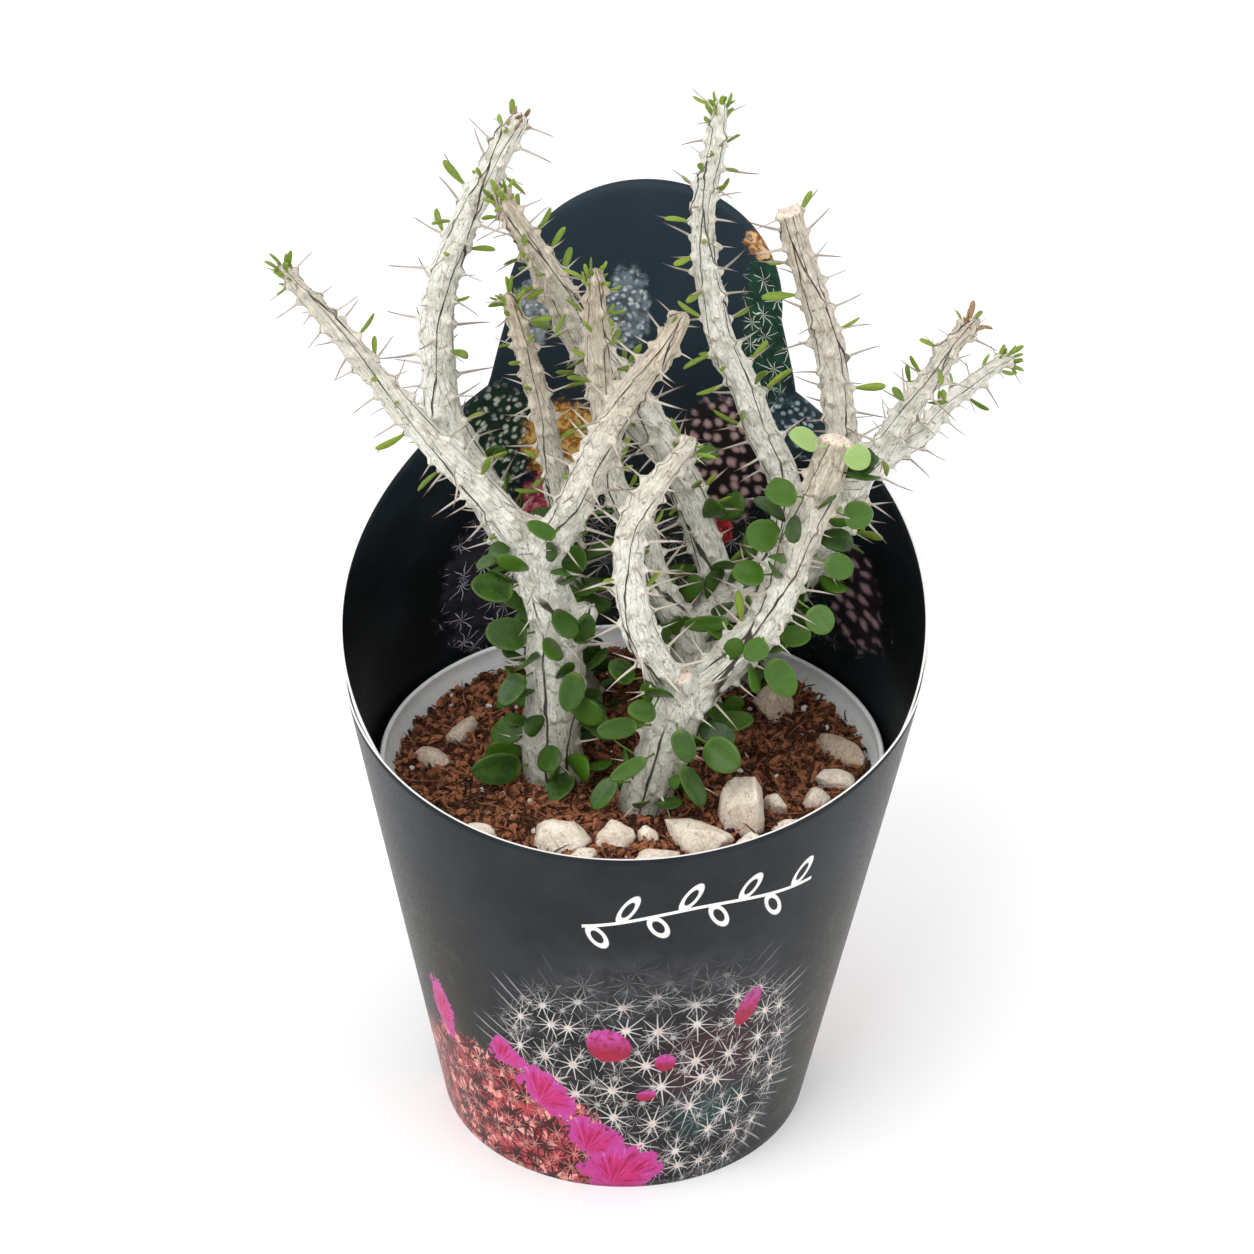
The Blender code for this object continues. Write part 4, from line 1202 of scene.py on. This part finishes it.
def makeSpines(values):
    skin, tree = spineMaterial(), spineTree()
    shared = dict(Foot=values["foot"] * mm, Sides=values["sides"], Rings=values["rings"],
                  Material=skin)
    main = growShapes("mainSpines", spinePlaces, tree, Length=values["length"] * mm,
                      Bend=values["bend"] * mm, Lift=values["lift"], Wander=values["wander"],
                      Seed=7, **shared)
    tips = growShapes("tipSpines", keptPoints(tipPlaces, "tipSpinePlaces", "spines", 5), tree,
                      Length=values["tipLength"] * mm, Bend=values["bend"] * 0.4 * mm,
                      Lift=values["tipLift"], Wander=0.5, Seed=9,
                      **{**shared, "Foot": values["foot"] * 0.7 * mm})
    spines = joinedPiece("spines", [main, tips])
    settle(spines, "bark")
    print("spines grown:", len(spines.data.polygons), "faces")


# leaves that repeat: finger-like ones beside the spines, round ones low on the hidden trunks
fingerLeaf = dict(length=7.8, width=2.0, thickness=1.1, lift=0.35, wander=0.45, point=0.8)
tipLeaf = dict(length=8.0, width=2.1, thickness=1.1, lift=1.7, wander=0.8, point=0.7)
roundLeaf = dict(length=9.0, width=6.4, thickness=1.2, lift=0.3, wander=0.8, point=0.95)


def leafTree():
    group, inputs = newGroup("repeatedLeaves", [
        ("Length", "Float", 0.006), ("Width", "Float", 0.0017), ("Thickness", "Float", 0.0008),
        ("Point", "Float", 0.8), ("Lift", "Float", 0.3), ("Wander", "Float", 0.4),
        ("Seed", "Int", 1), ("Material", "Material", None)])
    ball = put(group, "GeometryNodeMeshUVSphere", named={
        "Segments": 10, "Rings": 7, "Radius": 0.5})["Mesh"]
    parts = split(put(group, "GeometryNodeInputPosition")[0])
    along = parts["Z"] + 0.5
    # narrow at the foot, fullest past the middle, cupped a little
    full = calc("MAXIMUM", along, 0.02) ** 0.32 * 1.16
    cup = abs(parts["X"]) ** 2.0 * (inputs["Width"] * 0.45)
    arch = along ** 2.0 * (inputs["Length"] * -0.12)
    shape = move(ball, Position=xyz(parts["X"] * full * inputs["Width"],
                                    parts["Y"] * inputs["Thickness"] + (cup + arch),
                                    along ** inputs["Point"] * inputs["Length"]))
    shape = store(store(shape, "along", along), "edge", abs(parts["X"]) * 2.0)
    return placeShapes(group, inputs, shape, 0.6, 1.15)


def leafMaterial(name, dark, bright, pale, gloss):
    material, tree, shader = newMaterial(name, Subsurface_Weight=0.08, Subsurface_Scale=0.0012,
                                         Specular_IOR_Level=0.28, Coat_Weight=gloss,
                                         Coat_Roughness=0.16, Coat_IOR=1.4)
    place = objectPlace(tree)
    tone, along, edge = (attribute(tree, label) for label in ("tone", "along", "edge"))
    cloud = noise(place, 0.33, 3.0, 0.55)
    fleck = noise(place, 1.9, 4.0, 0.65)
    colour = mix(tone, dark, bright)
    colour = mix(ramp(cloud, 0.35, 0.7) * 0.45, colour, bright)
    # waxy flecks that are partly painted glints, a paler rim that is a painted highlight, and a paler
    # foot
    colour = mix(ramp(fleck, 0.52, 0.74) * 0.3, colour, pale)
    colour = mix(ramp(edge, 0.8, 1.0) * 0.28, colour, pale)
    colour = mix(ramp(along, 0.16, 0.0) * 0.6, colour, pale)
    dress(shader, colour, ramp(fleck, 0.35, 0.7, 0.34, 0.52), bump(fleck + cloud, 0.45, 0.0004))
    return material


def growLeaves(name, source, tree, look, seed, skin):
    return growShapes(name, source, tree, Length=look["length"] * mm, Width=look["width"] * mm,
                      Thickness=look["thickness"] * mm, Point=look["point"], Lift=look["lift"],
                      Wander=look["wander"], Seed=seed, Material=skin)


freshLeaf = leafMaterial("freshLeaf", (0.07, 0.135, 0.010), (0.21, 0.30, 0.028),
                         (0.46, 0.50, 0.12), 0.1)
dryLeaf = leafMaterial("dryLeaf", (0.16, 0.085, 0.045), (0.34, 0.22, 0.12), (0.50, 0.40, 0.22), 0.0)
glossyLeaf = leafMaterial("glossyLeaf", (0.006, 0.026, 0.002), (0.050, 0.135, 0.004),
                          (0.14, 0.24, 0.035), 0.22)


def makeRepeatedLeaves():
    tree = leafTree()
    fingers = growLeaves("fingers", keptPoints(places, "fingerPlaces", "small", 12), tree,
                         fingerLeaf, 21, freshLeaf)
    tufts = growLeaves("tufts", keptPoints(tipPlaces, "tuftPlaces", "small", 13), tree,
                       tipLeaf, 22, freshLeaf)
    withered = growLeaves("withered", keptPoints(tipPlaces, "witheredPlaces", "dry", 15), tree,
                          tipLeaf, 24, dryLeaf)
    small = joinedPiece("smallLeaves", [fingers, tufts, withered])
    settle(small, "leaf")
    lower = shootPlaces("lowerPlaces", 1.15, 0.9, seed=8)
    rounds = growLeaves("lowLeaves", keptPoints(lower, "roundPlaces", "round", 14), tree,
                        roundLeaf, 23, glossyLeaf)
    drop(lower)
    settle(rounds, "leaf")
    print("repeated leaves grown:", len(small.data.polygons) + len(rounds.data.polygons), "faces")


makeSpines(spineValues)
makeRepeatedLeaves()
drop(places)
drop(tipPlaces)

# the larger leaves: (base, tip, width, roll) in the plant's own millimetres above plantLevel
bigLeaves = {
    "leaf_front_left": [
        ((-24, -11, 43), (-33, -15, 46), 7.6, 0), ((-27, -12, 55), (-36, -15, 58), 7.0, 15),
        ((-25, -12, 33), (-30, -17, 28), 5.6, 20), ((-26, -12, 8), (-37, -18, 11), 7.6, -20),
        ((-25, -5, 17), (-33, -5, 11), 6.6, 10), ((-13, -14, 35), (-15, -18, 27), 5.8, -10),
        ((-12, -13, 42), (-10, -14, 50), 5.0, 20), ((-17, -17, 71), (-23, -18, 75), 3.6, 0),
        ((-14, -14, 7), (-20, -19, 3), 5.6, 20), ((-15, -1, 53), (-12, 0, 60), 6.4, 0)],
    "leaf_front_right": [
        ((5, -27, 32), (-1, -31, 35), 5.2, 10), ((1, -24, 27), (-8, -27, 27), 4.8, -10),
        ((0, -20, 36), (-5, -18, 40), 5.6, 25), ((10, -28, 28), (13, -32, 22), 5.2, 0),
        ((17, -25, 23), (24, -31, 20), 7.6, 15), ((18, -15, 21), (28, -13, 22), 5.4, -25),
        ((3, -29, 21), (-5, -33, 18), 3.8, 0), ((-4, -25, 13), (-9, -28, 7), 5.0, 20),
        ((11, -26, 17), (16, -30, 9), 5.2, -30), ((-5, -12, 16), (-11, -6, 20), 5.6, 20)],
    "leaf_leafy_shoot": [
        ((30, -20, 46), (25, -23, 44), 5.2, 0), ((31, -19, 41), (36, -23, 34), 6.6, 0),
        ((40, -15, 52), (44, -19, 48), 6.4, 10), ((34, -8, 40), (41, -7, 41), 5.4, -15),
        ((22, -10, 46), (12, -6, 43), 3.8, -25), ((29, -16, 61), (22, -19, 63), 6.0, 10),
        ((32, -14, 69), (25, -16, 72), 7.2, -10), ((36, -13, 79), (29, -15, 81), 6.6, 15),
        ((43, -13, 63), (49, -15, 61), 6.0, 0), ((47, -11, 73), (53, -13, 75), 6.4, 10),
        ((40, -13, 91), (34, -15, 95), 5.2, 20), ((47, -12, 90), (51, -15, 87), 5.8, 0)],
}
leafValues = dict(thickness=1.45, rim=0.5, cup=0.55, crease=0.22, stalk=0.55,
                  rows=14, columns=10, facing=(0.0, -0.8, 0.6), paleFrom=10)


def nearestOnShoots(point):
    best = None
    for shoots in plants.values():
        for shoot in shoots.values():
            for middle, radius, *_ in shootRun(shoot, 2.0):
                gap = (point - middle).length - radius
                if best is None or gap < best[0]:
                    best = (gap, middle, radius)
    return best


def leafBlade(bm, layers, row, values, tone, seed):
    # one closed blade with a soft rim, a shallow cup, a midrib crease and a short stalk
    base, tip, width, roll = row
    lift = Vector((0, 0, plantLevel))
    base, tip = Vector(base) + lift, Vector(tip) + lift
    forward = (tip - base).normalized()
    facing = Vector(values["facing"])
    face = (facing - forward * facing.dot(forward)).normalized()
    face.rotate(Matrix.Rotation(math.radians(roll), 3, forward))
    across = face.cross(forward)
    length = (tip - base).length
    pick = random.Random(seed)
    bend, skew, fat = pick.uniform(-0.9, 0.9), pick.uniform(-0.06, 0.06), pick.uniform(0.9, 1.12)
    rows, columns = values["rows"], values["columns"]
    alongLayer, edgeLayer, toneLayer = layers

    def place(along, over, top):
        swell = max(0.0, 1 - abs(2 * along ** 0.9 - 1) ** 2.15) ** 0.52
        half = width * 0.5 * swell * (1 + skew * over)
        depth = values["rim"] * 0.5 + (values["thickness"] * fat - values["rim"]) * 0.5 * math.sqrt(
            max(0.0, (1 - over * over) * swell))
        if not 0 < along < 1:
            depth = values["rim"] * 0.3
        rise = values["cup"] * over * over * swell + bend * (along - 0.5) ** 2
        if top:
            rise -= values["crease"] * math.exp(-(over / 0.12) ** 2) * swell
        rise += depth if top else -depth
        return (base + forward * along * length + across * half * over + face * rise) * mm

    sides = []
    for top in (True, False):
        grid = []
        for step in range(rows + 1):
            along = 0.5 - 0.5 * math.cos(math.pi * (0.03 + 0.94 * step / rows))
            line = []
            for cell in range(columns + 1):
                over = math.sin(math.pi / 2 * (2 * cell / columns - 1))
                corner = bm.verts.new(place(along, over, top))
                corner[alongLayer], corner[edgeLayer], corner[toneLayer] = along, abs(over), tone
                line.append(corner)
            grid.append(line)
        sides.append(grid)
        for step in range(rows):
            for cell in range(columns):
                loop = [grid[step][cell], grid[step][cell + 1], grid[step + 1][cell + 1],
                        grid[step + 1][cell]]
                bm.faces.new(loop if not top else loop[::-1])
    top, under = sides
    rimTop = ([line[0] for line in top] + top[-1][1:-1] + [line[-1] for line in reversed(top)]
              + top[0][-2:0:-1])
    rimUnder = ([line[0] for line in under] + under[-1][1:-1]
                + [line[-1] for line in reversed(under)] + under[0][-2:0:-1])
    for index in range(len(rimTop)):
        after = (index + 1) % len(rimTop)
        bm.faces.new((rimTop[index], rimTop[after], rimUnder[after], rimUnder[index]))
    # stalk from the blade into the bark
    _, middle, radius = nearestOnShoots(base)
    foot = middle + (base - middle).normalized() * radius * 0.8
    start = base + forward * length * 0.10
    rings = []
    for share, thick in ((0, 0.55), (0.4, 0.8), (0.75, 1.0), (1, 1.5)):
        centre = start.lerp(foot, share) - face * 0.25 * math.sin(math.pi * share)
        way = (foot - start).normalized()
        side = way.cross(face).normalized()
        other = way.cross(side)
        ring = []
        for part in range(8):
            turn = math.tau * part / 8
            corner = bm.verts.new((centre + (side * math.cos(turn) + other * math.sin(turn))
                                   * values["stalk"] * thick * 0.5) * mm)
            corner[alongLayer], corner[edgeLayer], corner[toneLayer] = 0.02, 0.0, tone
            ring.append(corner)
        rings.append(ring)
    for lower, upper in zip(rings, rings[1:]):
        for part in range(8):
            after = (part + 1) % 8
            bm.faces.new((lower[part], upper[part], upper[after], lower[after]))
    bm.faces.new(rings[0])
    bm.faces.new(rings[-1][::-1])


def makeBigLeaves(values):
    seed = 0
    for group, rows in bigLeaves.items():
        for number, row in enumerate(rows, start=1):
            seed += 1
            bm = bmesh.new()
            layers = [bm.verts.layers.float.new(name) for name in ("along", "edge", "tone")]
            tone = random.Random(seed * 7).uniform(0.1, 0.75)
            if group == "leaf_leafy_shoot":
                tone = 0.6 + 0.4 * tone
            skin = glossyLeaf
            if group == "leaf_leafy_shoot" and number > values["paleFrom"]:
                skin = paleLeaf
            leafBlade(bm, layers, row, values, tone, seed)
            bmesh.ops.recalc_face_normals(bm, faces=bm.faces)
            name = f"{group}_{number:02d}"
            settle(addMesh(pieceName(name), meshFrom(bm, name), skin), "leaf", name)
    print("large leaves made:", seed)


paleLeaf = leafMaterial("paleLeaf", (0.15, 0.28, 0.05), (0.28, 0.42, 0.13), (0.48, 0.60, 0.28), 0.2)
makeBigLeaves(leafValues)

# potting mix: a rough top with loose chips, fibres and perlite on it
soilValues = dict(top=90.5, crown=2.6, radius=57.2, wallGap=1.6, floor=1.9, rings=64, steps=190,
                  chips=2300, fibres=860, perlite=60, roughness=1.7)


def soilTop(reach, values=soilValues):
    return values["top"] + values["crown"] * (1 - reach * reach)


def soilMaterial(name, dark, middle, light, damp):
    material, tree, shader = newMaterial(name, Specular_IOR_Level=0.25)
    place = objectPlace(tree)
    tone = attribute(tree, "tone")
    cloud = noise(place, 0.16, 4.0, 0.6)
    grain = noise(place, 1.1, 5.0, 0.7)
    fibre = noise(vec("MULTIPLY", place, (1.0, 3.2, 2.0)), 0.9, 3.0, 0.6, 1.5)
    colour = mix(ramp(grain + (tone - 0.5) * 0.6, 0.3, 0.68), dark, middle)
    colour = mix(ramp(fibre, 0.56, 0.76), colour, light)
    colour = mix(ramp(cloud, 0.55, 0.35) * damp, colour, dark)
    dress(shader, colour, ramp(grain, 0.3, 0.7, 0.72, 0.95), bump(grain + fibre, 0.9, 0.0009))
    return material


def soilBody(values):
    # the whole plug down to the pot's floor, with a finely cut rough top
    profile = [(0.0, soilTop(0))]
    for ring in range(1, values["rings"] + 1):
        reach = ring / values["rings"]
        profile.append((values["radius"] * reach, soilTop(reach)))
    profile += [(potWall(z) - values["wallGap"], z) for z in (70, 40, values["floor"])]
    profile.append((0.0, values["floor"]))
    body = lathe("pottingMix", profile, values["steps"])
    for corner in body.data.vertices:
        x, y, z = (value / mm for value in corner.co)
        reach = math.hypot(x, y) / values["radius"]
        if z > values["top"] - 0.5 and reach < 1.01:
            lumps = fractal.fractal(Vector((x, y, 0)) * 0.16, 0.9, 2.1, 4)
            fine = fractal.fractal(Vector((x, y, 9)) * 0.75, 0.8, 2.1, 3)
            calm = 1 - 0.6 * max(0.0, reach - 0.9) * 10
            corner.co.z += (values["roughness"] * lumps + 0.55 * fine) * calm * mm
    return body


def scatterTree():
    # loose bits thrown over the faces that point up, each a squashed and bent ball
    group, inputs = newGroup("scatteredBits", [
        ("Density", "Float", 1000.0), ("Length", "Float", 0.003), ("Width", "Float", 0.001),
        ("Height", "Float", 0.0006), ("Bend", "Float", 0.0), ("Sides", "Int", 5),
        ("Rings", "Int", 4), ("Tumble", "Float", 0.5), ("Rise", "Float", 0.0003),
        ("Seed", "Int", 1), ("Material", "Material", None)])
    seed = inputs["Seed"]
    here = split(put(group, "GeometryNodeInputPosition")[0])
    up = split(put(group, "GeometryNodeInputNormal")[0])["Z"]
    upper = calc("GREATER_THAN", up, 0.3) * calc("GREATER_THAN", here["Z"], 0.085)
    spread = put(group, "GeometryNodeDistributePointsOnFaces", distribute_method="RANDOM", named={
        "Mesh": inputs["Geometry"], "Selection": upper, "Density": inputs["Density"], "Seed": seed})
    ball = put(group, "GeometryNodeMeshUVSphere", named={
        "Segments": inputs["Sides"], "Rings": inputs["Rings"], "Radius": 0.5})["Mesh"]
    bent = abs(here["Z"]) ** 2.0 * inputs["Bend"]
    shape = move(ball, Position=xyz(here["Z"] * inputs["Length"],
                                    here["X"] * inputs["Width"] + bent,
                                    here["Y"] * inputs["Height"]))
    angles = randomValue(seed + 3, (-1.0, -1.0, -3.14159), (1.0, 1.0, 3.14159))
    turn = vec("MULTIPLY", angles, xyz(inputs["Tumble"], inputs["Tumble"], 1.0))
    stood = put(group, "GeometryNodeInstanceOnPoints", named={
        "Points": spread["Points"], "Instance": shape, "Rotation": turn,
        "Scale": randomValue(seed + 4, (0.35, 0.5, 0.5), (1.15, 1.3, 1.3))})[0]
    raised = put(group, "GeometryNodeTranslateInstances", named={
        "Instances": stood, "Local Space": False, "Translation": xyz(0.0, 0.0, inputs["Rise"])})[0]
    toned = store(raised, "tone", randomValue(seed + 6), domain="INSTANCE")
    return closeGroup(group, toned, inputs["Material"])


def makeSoil(values):
    area = math.pi * (values["radius"] * mm) ** 2
    coir = soilMaterial("coirMix", (0.050, 0.014, 0.0055), (0.52, 0.195, 0.090),
                        (0.85, 0.50, 0.32), 0.3)
    perlite, tree, shader = newMaterial("perlite", Roughness=0.9)
    crumb = noise(objectPlace(tree), 1.2, 4.0)
    dress(shader, mix(crumb, (0.55, 0.48, 0.42), (0.86, 0.82, 0.76)), normal=bump(crumb, 0.7, 0.0005))
    body = soilBody(values)
    body.data.materials.append(coir)
    scatter = scatterTree()
    bits = []
    for name, count, skin, seed, size in (
            ("chips", values["chips"], coir, 31,
             dict(Length=3.0, Width=2.0, Height=1.7, Bend=0.0, Tumble=1.0, Rise=0.5)),
            ("flakes", values["chips"] // 3, coir, 32,
             dict(Length=5.6, Width=1.3, Height=0.9, Bend=1.2, Tumble=0.9, Rise=0.9)),
            ("fibres", values["fibres"], coir, 33,
             dict(Length=9.0, Width=0.42, Height=0.36, Bend=6.0, Tumble=0.6, Rise=1.1)),
            ("perlite", values["perlite"], perlite, 34,
             dict(Length=2.6, Width=1.9, Height=1.5, Bend=0.0, Tumble=1.0, Rise=0.3))):
        source = addMesh(name, body.data.copy())
        setAttribute(source.data, "tone", [0.5] * len(source.data.vertices))
        lengths = {key: (value if key == "Tumble" else value * mm) for key, value in size.items()}
        sides = dict(Sides=5, Rings=5 if name == "fibres" else 4)
        addTree(source, scatter, Density=count / area, Seed=seed, Material=skin, **sides, **lengths)
        bits.append(baked(source, name))
    setAttribute(body.data, "tone", [0.3] * len(body.data.vertices))
    loose = joinedPiece("looseMix", bits)
    settle(body, "potting_mix", "potting_mix")
    settle(loose, "potting_mix")
    print("potting mix made:", len(body.data.polygons) + len(loose.data.polygons), "faces")


makeSoil(soilValues)

# limestone pebbles: (x, y, half length, half width, half height, turn), x and y as shares of the
# mix's radius
pebbles = [
    (-0.29, -0.61, 6.6, 4.6, 4.4, 12), (-0.07, -0.59, 4.4, 4.0, 3.8, 40),
    (0.06, -0.58, 2.3, 2.2, 2.4, 0), (0.25, -0.6, 7.6, 4.6, 4.6, -32),
    (0.45, -0.45, 5.2, 6.4, 8.0, 15), (0.47, -0.64, 4.2, 2.8, 3.2, 20),
    (0.58, -0.36, 2.6, 2.6, 3.4, 60), (0.63, -0.51, 4.4, 2.8, 2.6, 15),
    (0.75, -0.29, 3.0, 3.0, 2.6, 0), (0.84, -0.16, 4.4, 2.8, 2.8, -20),
    (0.09, -0.73, 5.2, 2.6, 2.6, 5), (-0.19, -0.73, 3.2, 2.4, 2.6, 35),
    (0.61, 0.43, 4.9, 4.6, 4.8, 30), (0.89, 0.07, 7.0, 2.9, 3.0, -48),
    (-0.72, 0.23, 4.8, 2.4, 2.6, 55), (-0.84, 0.02, 4.6, 2.6, 2.6, -35),
    (-0.61, -0.55, 3.8, 2.6, 2.2, -20),
]
pebbleValues = dict(buried=0.37, facets=11, detail=4, pits=0.35, size=1.14)


def stoneMaterial():
    material, tree, shader = newMaterial("limestone", Specular_IOR_Level=0.25)
    place = objectPlace(tree)
    tone = attribute(tree, "tone")
    cloud = noise(place, 0.17, 4.0, 0.6)
    grain = noise(place, 1.3, 5.0, 0.65)
    pale = mix(ramp(grain, 0.35, 0.65), (0.8, 0.68, 0.55), (0.95, 0.88, 0.78))
    brown = mix(ramp(grain, 0.35, 0.65), (0.3, 0.2, 0.135), (0.5, 0.38, 0.27))
    colour = mix(tone, brown, pale)
    colour = mix(ramp(cloud, 0.48, 0.72) * 0.42, colour, (0.5, 0.355, 0.235))
    # rust veins, dark pits and crumbs of mix that stuck low down
    vein = ramp(abs(noise(place, 0.21, 3.0, 0.6, 0.8) - 0.5), 0.004, 0.018, 1, 0)
    colour = mix(vein * 0.5, colour, (0.27, 0.14, 0.07))
    pits = ramp(noise(place, 1.5, 2.0, 0.5), 0.7, 0.76)
    colour = mix(pits * 0.8, colour, (0.1, 0.04, 0.018))
    low = ramp(attribute(tree, "lowness"), 0.25, 0.95)
    stuck = low * ramp(noise(place, 0.8, 3.0), 0.42, 0.58)
    colour = mix(stuck * 0.75, colour, (0.13, 0.05, 0.024))
    dress(shader, colour, ramp(grain, 0.3, 0.7, 0.75, 0.95), bump(grain - pits, 0.55, 0.0005))
    return material


def pebble(name, index, row, values, skin):
    # a ball cut by random flats, roughened, then fitted to its size
    x, y, *sizes, turn = row
    length, width, height = (size * values["size"] for size in sizes)
    pick = random.Random(100 + index)
    bm = bmesh.new()
    bmesh.ops.create_icosphere(bm, subdivisions=values["detail"], radius=1.0)
    flats = []
    for _ in range(values["facets"]):
        way = Vector([pick.gauss(0, 1) for _ in range(3)]).normalized()
        flats.append((way, pick.uniform(0.62, 0.86)))
    for corner in bm.verts:
        spot = corner.co.copy()
        for way, depth in flats:
            over = spot.dot(way) - depth
            if over > 0:
                spot -= way * over * 0.94
        rough = fractal.fractal(spot * 2.1 + Vector((index * 3, 0, 0)), 0.8, 2.1, 4)
        chips = fractal.noise(spot * 6.5 + Vector((0, index * 5, 0)))
        corner.co = spot * (1 + 0.07 * rough - 0.05 * values["pits"] * max(0.0, chips))
    spans = [max(abs(corner.co[axis]) for corner in bm.verts) for axis in range(3)]
    for corner in bm.verts:
        corner.co = Vector([corner.co[axis] * size / spans[axis]
                            for axis, size in enumerate((length, width, height))])
    toneLayer, lowLayer = (bm.verts.layers.float.new(label) for label in ("tone", "lowness"))
    reach = math.hypot(x, y)
    middle = Vector((x * soilValues["radius"], y * soilValues["radius"],
                     soilTop(reach) + height * (1 - 2 * values["buried"])))
    place = Matrix.Translation(middle) @ Matrix.Rotation(math.radians(turn), 4, "Z")
    tone = 0.35 if index in (12, 14, 15) else (0.25 if index == 13 else pick.uniform(0.75, 1.0))
    for corner in bm.verts:
        corner[toneLayer] = tone
        corner[lowLayer] = 0.5 - 0.5 * corner.co.z / height
        corner.co = place @ corner.co * mm
    settle(addMesh(pieceName(name), meshFrom(bm, name), skin), "limestone", name)


stoneSkin = stoneMaterial()
for order, row in enumerate(pebbles):
    pebble(f"stone_{order + 1:02d}", order, row, pebbleValues, stoneSkin)
print("pebbles made:", len(pebbles))
